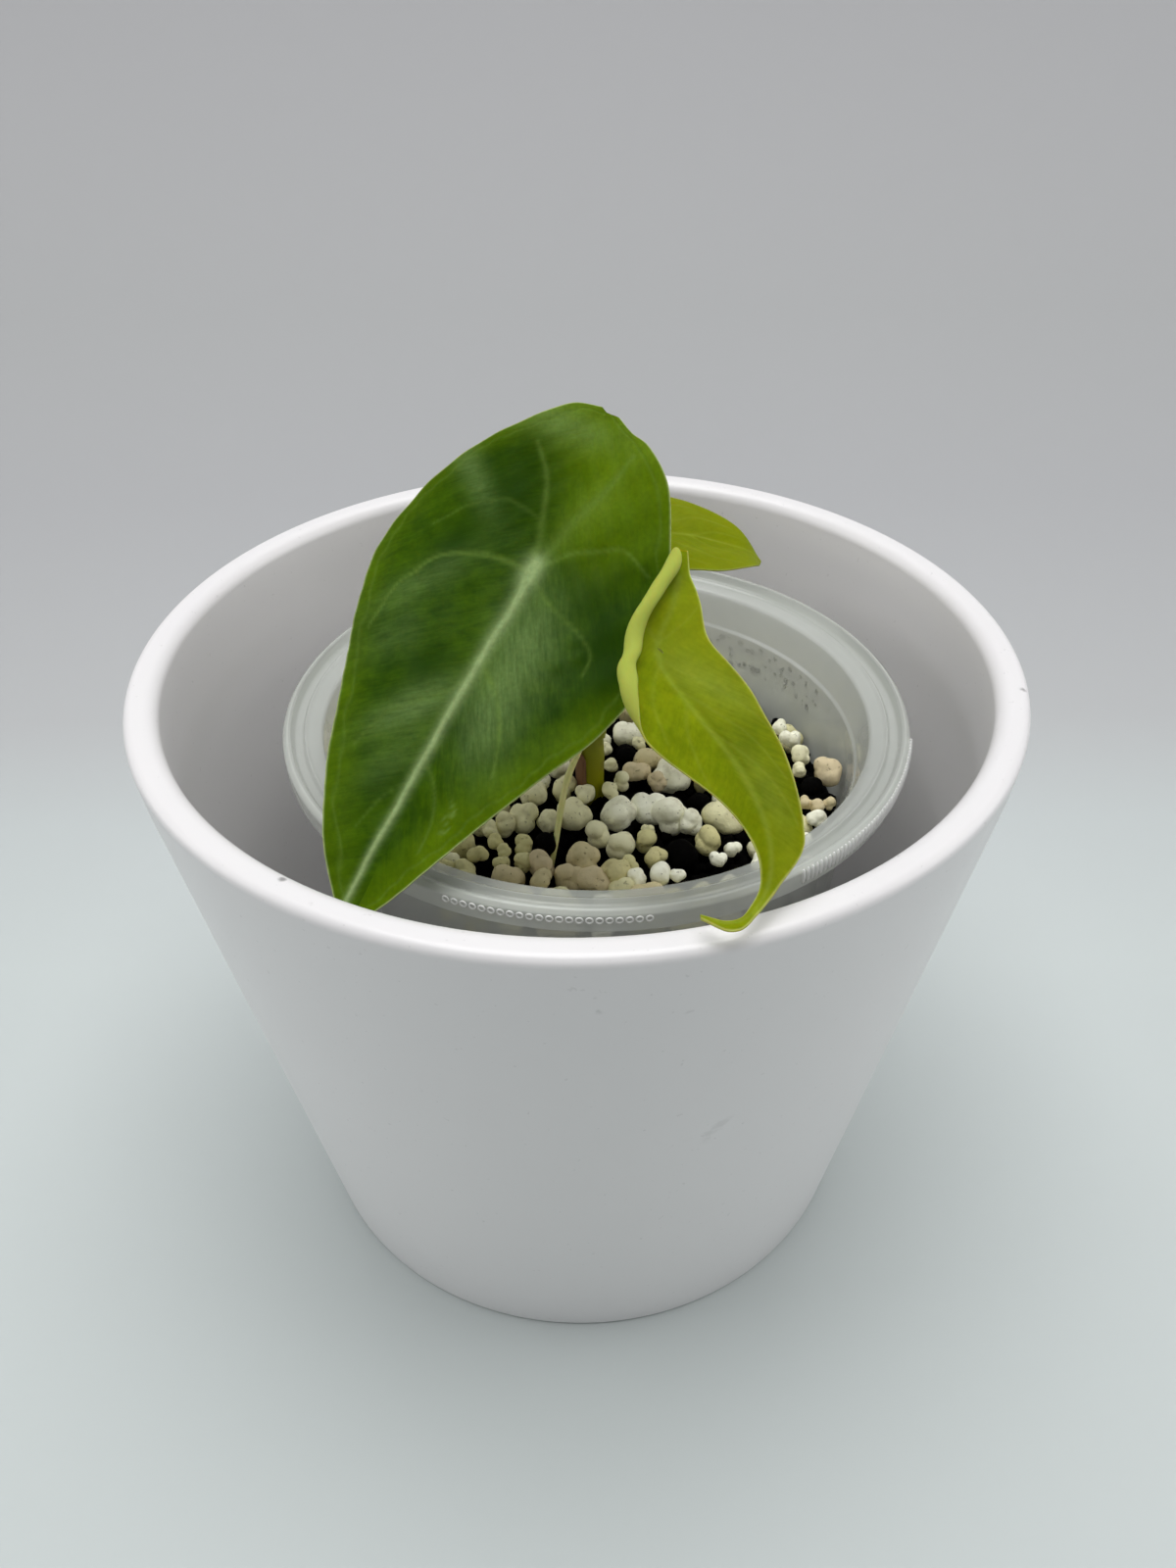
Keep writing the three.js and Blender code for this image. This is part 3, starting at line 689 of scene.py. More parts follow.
def free_spots(dice, count, spacing, taken, height, reach, overlap=0.75, tries=60):
    """Random points, in mm, on the mix's top, apart from each other and from what lies there."""
    spots = [np.array(p[:2]) for p in taken]
    radii = [p[2] for p in taken]
    found = []
    for _ in range(count * tries):
        if len(found) == count:
            break
        angle = dice.uniform(0, 2 * np.pi)
        r = reach * math.sqrt(dice.uniform())
        spot = np.array([CUP_AT[0] + r * math.cos(angle), CUP_AT[1] + r * math.sin(angle)])
        if all(np.linalg.norm(spot - q) > overlap * (w + spacing) for q, w in zip(spots, radii)):
            spots.append(spot)
            radii.append(spacing)
            found.append((*spot, height + dice.uniform(-0.4, 0.4) - hollow(*spot)))
    return found


taken = []
for group in [*pale_groups.values(), BLACK_LUMPS]:
    taken += [(*seen_at(px, py, LUMP_CREST_Z - LUMP_SINK * r)[:2], r) for px, py, r in group]
taken += IN_SIGHT
dice = np.random.default_rng(31)
strewn_stones = strewn_tree()
sphere, triangles = ball(3)
shape = popped(sphere, dice, knobs=6, spread=0.42)
stone = new_piece("stone", shape / MM, triangles.tolist())
spots = free_spots(dice, count=170, spacing=2.5, taken=taken, height=97.9, reach=47)
fill = grown(
    new_piece("perlite_strewn", spots, []),
    strewn_stones,
    Stone=stone,
    Smallest=2.1 * MM,
    Largest=3.3 * MM,
    Seed=5,
    Material=popped_perlite,
)
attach(fill, "root")
sphere, triangles = ball(1)
shape = popped(sphere, dice, knobs=4, spread=0.5)
chunk = new_piece("chunk", shape / MM, triangles.tolist(), smooth=False)
spots = free_spots(dice, count=900, spacing=1.1, taken=[], height=95.2, reach=48)
chips = grown(
    new_piece("charcoal_chips", spots, []),
    strewn_stones,
    Stone=chunk,
    Smallest=0.9 * MM,
    Largest=2.0 * MM,
    Seed=9,
    Material=dry_charcoal,
)
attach(chips, "root")
for pattern in (stone, chunk):
    bpy.data.objects.remove(pattern)

# Marks moulded into the cup's skirt, a row of small rings in front and a run of fine ribs on the
# right, and the beads of water that cling to the inside of its wall.
RING_HEIGHT = 113.8
RING_R = 0.52
RING_WIRE_R = 0.15
RING_COUNT = 22
RING_ARC = (-114.5, -83)
RIB_COUNT = 46
RIB_ARC = (-57, -14)
RIB_SIZE = (0.28, 1.6, 0.45)
BEAD_SIZES = (0.2, 0.8)
WALL_BEADS_Z = (99, 105.5)
LEDGE_BEADS_Z = (106.4, 112.2)
LEDGE_R = 50.2
LEDGE_SLOPE = 0.3


def moulded_row_tree():
    """Studs in a row round a circle, each standing out from it with its own top upwards."""
    tree, nodes, given = new_tree(
        "moulded_row", Object="Stud", Int="Count", Float="Radius Start Sweep", Vector="Centre"
    )
    arc_inputs = {
        "Resolution": 128,
        "Radius": given["Radius"],
        "Start Angle": given["Start"],
        "Sweep Angle": given["Sweep"],
    }
    line = nodes.add("GeometryNodeCurveArc", {"mode": "RADIUS"}, arc_inputs)
    inputs = {"Curve": line, "Count": given["Count"]}
    points = nodes.add("GeometryNodeCurveToPoints", {"mode": "COUNT"}, inputs)
    inputs = {"Vector": nodes.add("GeometryNodeInputPosition")}
    outward = nodes.add("FunctionNodeAlignRotationToVector", {"axis": "Z"}, inputs)
    inputs = {"Rotation": outward, "Vector": (0, 0, 1)}
    settings = {"axis": "Y", "pivot_axis": "Z"}
    upright = nodes.add("FunctionNodeAlignRotationToVector", settings, inputs)
    placed = set_out(nodes, points, shape_of(nodes, given["Stud"]), upright)
    inputs = {"Geometry": placed, "Translation": given["Centre"]}
    moved = nodes.add("GeometryNodeTransform", {}, inputs)
    end_tree(nodes, moved, given["Material"])
    return tree


def ring_stud():
    """A small ring lying flat, its axis along Z."""
    around, section = 20, 8
    points = []
    for a in np.arange(around) * 2 * np.pi / around:
        for b in np.arange(section) * 2 * np.pi / section:
            reach = RING_R + RING_WIRE_R * math.cos(b)
            points.append((reach * math.cos(a), reach * math.sin(a), RING_WIRE_R * math.sin(b)))
    faces = []
    for i in range(around):
        for j in range(section):
            a, b = i * section, (i + 1) % around * section
            k = (j + 1) % section
            faces.append((a + j, b + j, b + k, a + k))
    return new_piece("ring_stud", points, faces)


def rib_stud():
    """A short rounded rib, its length along Y."""
    points, faces = ball(2)
    return new_piece("rib_stud", points * np.array(RIB_SIZE), faces.tolist())


moulded_row = moulded_row_tree()
moulded_edge = new_material(
    "moulded_edge", lambda nodes: {}, Base_Color=paint(246, 247, 245), Roughness=0.14, Alpha=0.9
)
for name, stud, count, (start, stop) in (
    ("skirt_rings", ring_stud(), RING_COUNT, RING_ARC),
    ("skirt_ribs", rib_stud(), RIB_COUNT, RIB_ARC),
):
    row = grown(
        new_piece(name, [(0, 0, 0)], []),
        moulded_row,
        Stud=stud,
        Count=count,
        Radius=(CUP_RIM_R + 0.02) * MM,
        Start=math.radians(start),
        Sweep=math.radians(stop - start),
        Centre=(CUP_AT[0] * MM, CUP_AT[1] * MM, RING_HEIGHT * MM),
        Material=moulded_edge,
    )
    bpy.data.objects.remove(stud)
    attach(row, "root")


def bead_tree():
    """Flat beads of water over a patch of wall."""
    tree, nodes, given = new_tree(
        "water_beads", Geometry="Wall", Float="Density Smallest Largest", Int="Seed"
    )
    inputs = {"Mesh": given["Wall"], "Density": given["Density"], "Seed": given["Seed"]}
    points = nodes.add("GeometryNodeDistributePointsOnFaces", {}, inputs)
    flat_on = Wire(nodes, points.socket.node.outputs["Rotation"])
    size = between(nodes, given["Smallest"], given["Largest"], given["Seed"])
    flattened = nodes.add("ShaderNodeCombineXYZ", {}, {"X": size, "Y": size, "Z": size * 0.55})
    bead = nodes.add("GeometryNodeMeshIcoSphere", {}, {"Radius": 1.0, "Subdivisions": 2})
    placed = set_out(nodes, points, bead, flat_on, flattened)
    end_tree(nodes, placed, given["Material"])
    return tree


def ledge_inside(z):
    """Inside radius of the sloping ledge above the cup's step."""
    return LEDGE_R + (z - LEDGE_BEADS_Z[0]) * LEDGE_SLOPE


def wall_patch(name, span, heights, reach, steps=24):
    """A patch of a round wall between two angles and two heights."""
    angles = np.radians(np.linspace(*span, steps + 1))
    points = []
    for z in heights:
        r = reach(z)
        points += [(CUP_AT[0] + r * math.cos(a), CUP_AT[1] + r * math.sin(a), z) for a in angles]
    faces = [(i + 1, i, i + steps + 1, i + steps + 2) for i in range(steps)]
    return new_piece(name, points, faces)


water_beads = bead_tree()
water = new_material("water", lambda nodes: {}, Roughness=0.02, IOR=1.33, Transmission_Weight=1.0)
for name, span, heights, reach, density in (
    ("beads_behind", (20, 75), WALL_BEADS_Z, cup_inside, 200000),
    ("beads_right", (-55, -12), WALL_BEADS_Z, cup_inside, 160000),
    ("beads_on_ledge", (-60, -15), LEDGE_BEADS_Z, ledge_inside, 120000),
):
    beads = grown(
        wall_patch(name, span, heights, reach),
        water_beads,
        Density=density,
        Smallest=BEAD_SIZES[0] * MM,
        Largest=BEAD_SIZES[1] * MM,
        Seed=3,
        Material=water,
    )
    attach(beads, "root")

# Stem, stalks and root: living green tissue. The stem stands in the mix, the three stalks grow from
# its top, a dry brown sheath is left on its side, and one pale root dips into the mix.
STEM_FOOT = (2.5, -5.3, 84)
STEM_MIDDLE = (2.4, -5.1, 97.5)
STEM_TOP = (2.2, -4.8, 111)
STEM_R = 2.5
STEM_RADII = [1.9, 2.3, 2.6, 2.5, 2.7, 2.4]
ROOT_LINE = [
    (0.4, -8.2, 109.6),
    (-2.4, -13.7, 105.4),
    (-4.5, -23.5, 98.6),
    (-5.7, -28, 93.5),
    (-6, -29.4, 88),
]
ROOT_RADII = [0.5, 0.64, 0.58, 0.48, 0.38, 0.26]
SHEATH_Z = (92, 108)
SHEATH_START = 120
SHEATH_SWEEP = 130
SPAN_STEPS = 60


def through(a, b, c, d, f):
    """Point at a share f of the way from b to c, on a smooth curve through all four."""
    bend = (c - a) * f + (2 * a - 5 * b + 4 * c - d) * f**2 + (3 * b - a - 3 * c + d) * f**3
    return b + 0.5 * bend


def smooth_line(points, steps=SPAN_STEPS):
    """Points along a smooth curve through the given points, evenly many in each span."""
    p = np.array(points, float)
    p = np.vstack([2 * p[0] - p[1], p, 2 * p[-1] - p[-2]])
    f = (np.arange(steps) / steps)[:, None]
    spans = [through(a, b, c, d, f) for a, b, c, d in zip(p, p[1:], p[2:], p[3:])]
    return np.vstack([*spans, p[-2:-1]])


def stalk_tree():
    """A round skin along a path, as thick as the path's radius attribute says."""
    tree, nodes, given = new_tree("round_stalk", Geometry="Path", Int="Sides")
    line = nodes.add("GeometryNodeMeshToCurve", {}, {"Mesh": given["Path"]})
    inputs = {"Name": "radius"}
    radius = nodes.add("GeometryNodeInputNamedAttribute", {"data_type": "FLOAT"}, inputs)
    inputs = {"Resolution": given["Sides"], "Radius": 1.0}
    ring = nodes.add("GeometryNodeCurvePrimitiveCircle", {"mode": "RADIUS"}, inputs)
    inputs = {"Curve": line, "Profile Curve": ring, "Scale": radius, "Fill Caps": True}
    skin = nodes.add("GeometryNodeCurveToMesh", {}, inputs)
    end_tree(nodes, skin, given["Material"])
    return tree


round_stalk = stalk_tree()


def stalk(name, points, radii, material, sides=20, steps=14):
    """A stalk along a smooth line, with radii in mm spread evenly along it."""
    line = smooth_line(points, steps)
    piece = new_piece(name, line, [], edges=[(i, i + 1) for i in range(len(line) - 1)])
    spread = np.interp(np.linspace(0, 1, len(line)), np.linspace(0, 1, len(radii)), radii)
    radius = piece.data.attributes.new("radius", "FLOAT", "POINT")
    radius.data.foreach_set("value", spread * MM)
    grown(piece, round_stalk, Sides=sides, Material=material)
    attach(piece, "root")
    return piece


def stalk_finish(nodes):
    where = nodes.place()
    stripes = nodes.noise(nodes.stretched(where, (9.0, 9.0, 1.0)), 90.0, 3.0)
    blotches = nodes.step(nodes.noise(where, 260.0, 3.0), 0.5, 0.68)
    low = 1 - nodes.step(nodes.along("Z", where), 0.1, 0.118)
    green = nodes.mix(stripes, paint(104, 116, 34), paint(142, 150, 62))
    ripe = nodes.mix(low, green, paint(132, 132, 8))
    return {
        "Base Color": nodes.mix(blotches * 0.35, ripe, paint(92, 66, 30)),
        "Roughness": 0.4 + stripes * 0.15,
        "Normal": nodes.bump(stripes, 0.00012, 0.6),
    }


def root_finish(nodes):
    cloudy = nodes.noise(nodes.place(), 420.0, 3.0)
    return two_toned(nodes, cloudy, (190, 190, 108), (224, 222, 160), 0.45, 0.0002, 0.5)


def sheath_finish(nodes):
    fibres = nodes.noise(nodes.stretched(nodes.place(), (8.0, 8.0, 1.0)), 180.0, 3.0)
    return two_toned(nodes, fibres, (78, 46, 28), (138, 100, 66), 0.6, 0.0002, 0.7)


stalk_green = new_material(
    "stalk_green",
    stalk_finish,
    Specular_IOR_Level=0.15,
    Subsurface_Weight=0.1,
    Subsurface_Scale=0.002,
)
root_pale = new_material("root_pale", root_finish, Subsurface_Weight=0.2, Subsurface_Scale=0.001)
stem_line = [STEM_FOOT, STEM_MIDDLE, STEM_TOP]
stem = stalk("stem_grown", stem_line, STEM_RADII, stalk_green, sides=32)
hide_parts("stem_base")
root = stalk("root_grown", ROOT_LINE, ROOT_RADII, root_pale, sides=16)
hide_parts("aerial_root")


def sheath():
    """What is left of an old leaf's foot: a thin shell round part of the stem, torn at its top."""
    columns, rows = 14, 10
    foot, top = SHEATH_Z
    points = []
    for i in range(rows + 1):
        for j in range(columns + 1):
            angle = math.radians(SHEATH_START + SHEATH_SWEEP * j / columns)
            torn = top + 1.4 * math.sin(7 * angle) + 0.8 * math.sin(17 * angle)
            f = i / rows
            reach = STEM_R + 0.25 + 0.5 * f**3
            x = STEM_TOP[0] + 0.2 + reach * math.cos(angle)
            points.append((x, -5 + reach * math.sin(angle), foot + (torn - foot) * f))
    return new_piece("dry_sheath", points, grid(rows, columns))


old_sheath = sheath()
old_sheath.data.materials.append(new_material("dry_sheath", sheath_finish))
thickness = old_sheath.modifiers.new("thickness", "SOLIDIFY")
thickness.thickness = 0.25 * MM
thickness.offset = 0
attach(old_sheath, "root")

# Leaves: waxy blades, thin and firm, each at the end of its stalk. A leaf is drawn flat, then bent:
# flat, x runs along the midrib from the stalk towards the tip and y to the leaf's left, in mm.
BLADE_HALF = 0.27
EDGE_THINNING = 0.6
EDGE_LINE = 0.18
MARGIN_ROLL = 46


def soft_steps(rows, at, column):
    """A column of rows that start with their station, read at other stations, with soft steps."""
    rows = np.array(rows, float)
    i = np.clip(np.searchsorted(rows[:, 0], at, side="right"), 1, len(rows) - 1)
    t = np.clip((at - rows[i - 1, 0]) / (rows[i, 0] - rows[i - 1, 0]), 0, 1)
    return rows[i - 1, column] + (rows[i, column] - rows[i - 1, column]) * t * t * (3 - 2 * t)


class Leaf:
    """Sections: x, heading, roll, lift and curl of the left half, lift and curl of the right half.
    Ribs: x on the midrib, then the edge points that its side veins run to, left and right.
    Rolled: x, then how far out the left margin starts to turn over.
    Slants: degrees between the midrib and the fine streaks of the left and of the right half."""

    NEVER = 99
    NOT_ROLLED = ((0, NEVER), (1, NEVER))
    RUN_UNIT = 100

    def __init__(self, midrib, joint, pitch, sections, ribs, rolled=NOT_ROLLED, slants=(40, 40)):
        self.line = smooth_line(midrib)
        steps = np.linalg.norm(np.diff(self.line, axis=0), axis=1)
        self.reach = np.concatenate([[0], np.cumsum(steps)])
        self.reach -= self.reach[SPAN_STEPS * joint]
        self.pitch = math.radians(pitch)
        self.sections = sections
        self.margin = smooth_line(rolled, 10)
        self.slants = slants
        self.ribs = np.array([[middle, 0, *left, *right] for middle, left, right in ribs], float)

    def bent(self, x, y):
        """Points in space of flat points of the blade."""
        inside = np.clip(x, self.reach[0], self.reach[-1])
        point = np.stack([np.interp(inside, self.reach, c) for c in self.line.T], -1)
        tip, foot = self.line[-1] - self.line[-2], self.line[1] - self.line[0]
        tip, foot = (way / np.linalg.norm(way) for way in (tip, foot))
        beyond = np.where((x > 0)[..., None], tip, foot)
        point = point + (x - inside)[..., None] * beyond
        heading, roll = (np.radians(soft_steps(self.sections, x, k)) for k in (1, 2))
        level = np.stack([-np.cos(heading), np.sin(heading), 0 * x], -1)
        dip = math.cos(self.pitch)
        drop = 0 * x - math.sin(self.pitch)
        ahead = np.stack([-np.sin(heading) * dip, -np.cos(heading) * dip, drop], -1)
        turn = -roll[..., None]
        left = level * np.cos(turn) + np.cross(ahead, level) * np.sin(turn)
        up = np.cross(left, ahead)
        lift, curl = (
            np.where(y > 0, soft_steps(self.sections, x, k), soft_steps(self.sections, x, k + 2))
            for k in (3, 4)
        )
        turns_over = np.where(y > 0, np.interp(x, *self.margin.T), self.NEVER)
        out = 0 * y
        rise = 0 * y
        parts = 40
        for k in range(parts):
            d = np.abs(y) * (k + 0.5) / parts
            roll = MARGIN_ROLL * np.maximum(0, d - turns_over)
            angle = np.radians(lift * np.minimum(1, d / 2) + curl * d + roll)
            out = out + y * np.cos(angle) / parts
            rise = rise + np.abs(y) * np.sin(angle) / parts
        return point + out[..., None] * left + rise[..., None] * up

    def flat(self, t, s):
        """Flat points at shares t from lobes to tip and s from right edge (-1) to left edge (1)."""
        last = len(self.ribs) - 1
        low = np.minimum((t * last).astype(int), last - 1)
        f = (t * last - low)[..., None]
        rib = through(*(self.ribs[np.clip(low + k, 0, last)] for k in (-1, 0, 1, 2)), f)
        edge = np.where((s > 0)[..., None], rib[..., 2:4], rib[..., 4:6])
        w = np.abs(s)
        return rib[..., 0] + (edge[..., 0] - rib[..., 0]) * w, edge[..., 1] * w

    def blade(self, name, rows, columns, marks, relief):
        """The blade as a closed mesh, with its marks in attributes and its relief in its faces."""
        t, s = np.meshgrid(
            np.linspace(0, 1, rows + 1), np.linspace(1, -1, columns + 1), indexing="ij"
        )
        x, y = self.flat(t, s)
        from_edge = (1 - np.abs(s)) * np.abs(self.flat(t, np.sign(s + 1e-9))[1])
        middle = self.bent(x, y)
        normal = np.cross(np.gradient(middle, axis=0), np.gradient(middle, axis=1))
        normal /= np.linalg.norm(normal, axis=-1, keepdims=True)
        drawn = {key: rule(x, y, from_edge) for key, rule in marks.items()}
        height = relief(x, y, from_edge, drawn)[..., None]
        half = (BLADE_HALF * (1 - EDGE_THINNING * np.abs(s) ** 8))[..., None]
        points = [middle + normal * (height + side * half) for side in (1, -1)]
        points = np.vstack([p.reshape(-1, 3) for p in points])
        under = x.size
        across = columns + 1
        low = (np.arange(rows)[:, None] * across + np.arange(columns)).ravel()
        upper = np.stack([low, low + across, low + across + 1, low + 1], 1)
        rim = [i * across for i in range(rows)]
        rim += [rows * across + j for j in range(columns)]
        rim += [(rows - i) * across + columns for i in range(rows)]
        rim += [columns - j for j in range(columns)]
        rim = np.array(rim)
        after = np.roll(rim, -1)
        band = np.stack([rim, rim + under, after + under, after], 1)
        faces = np.vstack([upper, upper[:, ::-1] + under, band])
        piece = new_piece(name, points, faces.tolist())
        drawn["edge"] = np.exp(-((from_edge / EDGE_LINE) ** 2))
        drawn["above"] = np.ones(x.shape)
        for key, values in drawn.items():
            other = 0 * values if key == "above" else values
            both = np.hstack([values.ravel(), other.ravel()])
            attribute = piece.data.attributes.new(key, "FLOAT", "POINT")
            attribute.data.foreach_set("value", both)
        slant = np.radians(np.where(y > 0, *self.slants))
        ahead = np.cos(slant) * x + np.sin(slant) * np.abs(y)
        aside = np.sin(slant) * x - np.cos(slant) * np.abs(y)
        run = np.stack([ahead, aside, 0.1 * y], -1)
        both = np.vstack([run.reshape(-1, 3)] * 2).ravel() / self.RUN_UNIT
        attribute = piece.data.attributes.new("vein_run", "FLOAT_VECTOR", "POINT")
        attribute.data.foreach_set("vector", both)
        return piece


def vein(x, y, path, wide, narrow):
    """1 on a vein's line, fading beside it; its width changes evenly along the path."""
    line = smooth_line(path, 10)
    best = np.zeros(x.shape)
    for i, (a, b) in enumerate(zip(line, line[1:])):
        along = b - a
        share = np.clip(((x - a[0]) * along[0] + (y - a[1]) * along[1]) / (along @ along), 0, 1)
        gap = np.hypot(x - a[0] - share * along[0], y - a[1] - share * along[1])
        width = wide + (narrow - wide) * i / len(line)
        best = np.maximum(best, np.exp(-((gap / width) ** 2)))
    return best


def patch(x, y, at, size, turn=0):
    """1 in the middle of a soft oval patch, fading to its edge."""
    c, s = math.cos(math.radians(turn)), math.sin(math.radians(turn))
    along = (x - at[0]) * c + (y - at[1]) * s
    across = (y - at[1]) * c - (x - at[0]) * s
    return np.exp(-((along / size[0]) ** 2) - (across / size[1]) ** 2)


def side_veins(rows):
    """A rule for thin veins: each has its path, its width at both ends in mm, and its force."""
    return lambda x, y, from_edge: np.maximum.reduce(
        [vein(x, y, path, wide, narrow) * force for path, wide, narrow, force in rows]
    )


def patches(rows, base=0):
    """A rule for soft oval patches: each has its middle, size, turn in degrees and force."""
    return lambda x, y, from_edge: np.clip(
        base + sum(force * patch(x, y, at, size, turn) for at, size, turn, force in rows), 0, 1
    )


def leaf_finish(nodes, colours):
    """Waxy leaf skin: the colours are its dark, middle, silver (painted sheen), ripe, vein, edge
    and underside.
    """
    dark, middle, silver, ripe, vein_paint, edge_paint, under = (paint(*c) for c in colours)
    where = nodes.place()
    run = nodes.attribute("vein_run", "Vector")
    streaks = nodes.noise(nodes.stretched(run, (26.0, 160.0, 26.0)), 1.0, 4.0, 0.6)
    cloudy = nodes.noise(where, 75.0, 4.0)
    cells = nodes.noise(where, 1400.0, 2.0)
    grain = nodes.noise(where, 380.0, 3.0)
    mottle = nodes.step(streaks * 0.3 + cloudy * 0.5 + grain * 0.35, 0.38, 0.8)
    green = nodes.mix(mottle, dark, middle)
    green = nodes.mix(nodes.attribute("shade"), green, dark)
    green = nodes.mix(nodes.attribute("ripe") * (0.35 + cloudy * 0.7), green, ripe)
    # Painted sheen: silvery patches, streaked along the veins, stand in for light glancing off the
    # wax.
    bloom = nodes.step(streaks * 0.6 + cloudy * 0.4, 0.25, 0.75)
    green = nodes.mix(nodes.attribute("bloom") * (0.4 + bloom * 0.6), green, silver)
    thin_vein = nodes.mix(0.45, silver, ripe)
    green = nodes.mix(nodes.attribute("fine") * (0.25 + grain * 0.9), green, thin_vein)
    green = nodes.mix(nodes.attribute("main") * (0.7 + grain * 0.5), green, vein_paint)
    green = nodes.mix(nodes.attribute("edge") * 0.8, green, edge_paint)
    green = nodes.mix((cells - 0.5) * 0.5 + 0.1, green, dark)
    underside = nodes.mix(nodes.attribute("main") * 0.6 + streaks * 0.2, under, edge_paint)
    above = nodes.step(nodes.attribute("above"), 0.2, 0.8)
    height = streaks * 0.4 + cells * 0.14 + cloudy * 0.8
    return {
        "Base Color": nodes.mix(above, underside, green),
        "Roughness": 0.4 + cloudy * 0.14 + nodes.attribute("main") * 0.12,
        "Normal": nodes.bump(height, 0.0002, 0.5),
    }


def leaf_skin(name, colours, weight, depth):
    """The skin's material: weight and depth say how much light goes into it and how far."""
    return new_material(
        name,
        lambda nodes: leaf_finish(nodes, colours),
        Specular_IOR_Level=0.03,
        Subsurface_Weight=weight,
        Subsurface_Scale=depth,
    )


# The big leaf in front: dark satin green, with a broad pale midrib, a painted silvery sheen
# beside it and yellow towards its margins. Its lobes stand up at the back and its tip hangs down
# over the rim.
BIG_MIDRIB = [
    (-1, 0), (5, 0), (13, 0.6), (21, 1), (29, 1.3), (37, 1.5), (45, 1.7), (52, 2), (62, 2),
]
BIG_SIDE_VEINS = [
    ([(-1, 0.3), (-8, 2.2), (-15, 4.6), (-20, 8.5)], 0.8, 0.3, 0.6),
    ([(-1, -0.6), (-7, -2), (-12.2, -4.2), (-17.4, -6.2), (-23, -7.6)], 1.1, 0.4, 0.5),
    ([(-1.3, -1.7), (-4.2, -4.7), (-6.4, -9.2), (-7.9, -12.6), (-5.5, -18)], 0.5, 0.25, 0.5),
    (
        [(0.7, 1.5), (0.7, 6.5), (1.9, 11.7), (4, 15.9), (7.6, 18.7), (11.3, 20.8), (19, 21.6)],
        0.5, 0.25, 0.7,
    ),
    ([(20, 1), (25.4, 3.9), (29.5, 8.4), (32.7, 11.1), (38, 13)], 0.5, 0.3, 0.35),
    ([(18, 0.6), (22.4, -4.4), (25.8, -6.7), (29.8, -8.7), (35, -10)], 0.5, 0.25, 0.6),
    (
        [(2, -1), (4.6, -4.6), (6.3, -8.4), (8.6, -13.2), (10.7, -15.2), (14, -15.4)],
        0.4, 0.22, 0.45,
    ),
    ([(36, 1.4), (40, -2.5), (45, -4.6), (50, -5)], 0.35, 0.2, 0.4),
    ([(40, 1.6), (44, 4.5), (50, 6.2)], 0.35, 0.2, 0.3),
    ([(-8, 2.2), (-9, 9), (-6, 15), (-1, 20)], 0.4, 0.2, 0.3),
]
BIG_SCRIBBLE = [(41, -6), (42.5, -7.4), (43.5, -6), (45, -7.6), (46, -6.4)]
# Where the painted sheen lies on the big leaf: light glancing off the wax, painted as silvery
# patches.
BIG_PAINTED_SHEEN = [
    ((11, -5), (9, 5), -20, 0.9),
    ((23, -5.5), (9, 3.8), -20, 0.85),
    ((29, 7), (8, 3), 40, 0.85),
    ((9, 16.5), (9, 3), 40, 0.5),
    ((19, 16), (6, 4), 40, 0.35),
    ((29, -4), (6, 3), -20, 0.6),
    ((38, 6), (7, 3), 30, 0.3),
    ((-12, -4.5), (9, 2.6), 22, 0.2),
    ((-13, 18.5), (10, 2.4), -50, 0.7),
    ((-24, 6), (3, 9), 0, 0.7),
]
BIG_SHADE = [
    ((1, -10), (5, 5), 0, 0.8),
    ((9, -17), (8, 4), 0, 0.7),
    ((2, 14), (6, 4), 0, 0.9),
    ((22, 9), (5, 4), 40, 0.8),
    ((-10, 9), (9, 6), 0, 0.8),
    ((42, 6), (6, 3), 20, 0.5),
    ((14, -20), (6, 3), 0, 0.6),
]
BIG_BLISTERS = [((14.2, -11.1), 0.9, 0.5), ((9.2, -11.7), 1.3, 0.45), ((11.5, -13.5), 1.0, 0.3)]


def big_main(x, y, from_edge):
    halo = 0.5 * vein(x, y, BIG_MIDRIB, 1.5, 0.6) + 0.5 * patch(x, y, (1, 0), (3, 2))
    return np.clip(halo + 0.6 * vein(x, y, BIG_MIDRIB, 0.5, 0.28), 0, 0.9)


def big_fine(x, y, from_edge):
    veins = side_veins(BIG_SIDE_VEINS)(x, y, from_edge)
    waver = 2 + 0.35 * np.sin(0.5 * x) + 0.2 * np.sin(1.3 * x + y)
    collecting = 0.28 * np.exp(-(((from_edge - waver) / 0.3) ** 2))
    return np.maximum.reduce([veins, collecting, 0.9 * vein(x, y, BIG_SCRIBBLE, 0.25, 0.2)])


def big_ripe(x, y, from_edge):
    low_right = np.clip(1 - from_edge / 8, 0, 1) * (y < 0) * np.clip((x - 12) / 14, 0, 0.8)
    lobes = np.clip((-x - 6) / 14, 0, 1) * np.clip(0.4 - y / 20, 0, 1)
    lobes = lobes + 0.7 * patch(x, y, (-13, -5), (9, 3), 22) + patch(x, y, (-26, 2), (6, 11))
    lobes = lobes + 0.6 * patch(x, y, (-6, -9), (5, 6))
    left_rim = np.clip(1 - from_edge / 6, 0, 1) * (y > 0) * 0.45
    return np.clip(low_right + lobes + left_rim + 0.3 * patch(x, y, (44, -6), (6, 3)), 0, 1)


def big_relief(x, y, from_edge, drawn):
    quilting = 0.16 * np.sin(0.5 * x + 0.35 * np.abs(y)) * np.sin(0.42 * np.abs(y) + 0.8)
    blisters = sum(rise * patch(x, y, at, (size, size)) for at, size, rise in BIG_BLISTERS)
    ripples = 0.05 * np.sin(1.9 * (0.61 * x - 0.79 * np.abs(y)) + 0.6 * np.sin(0.3 * x))
    return quilting + ripples + blisters + 0.22 * drawn["main"] - 0.16 * drawn["fine"]


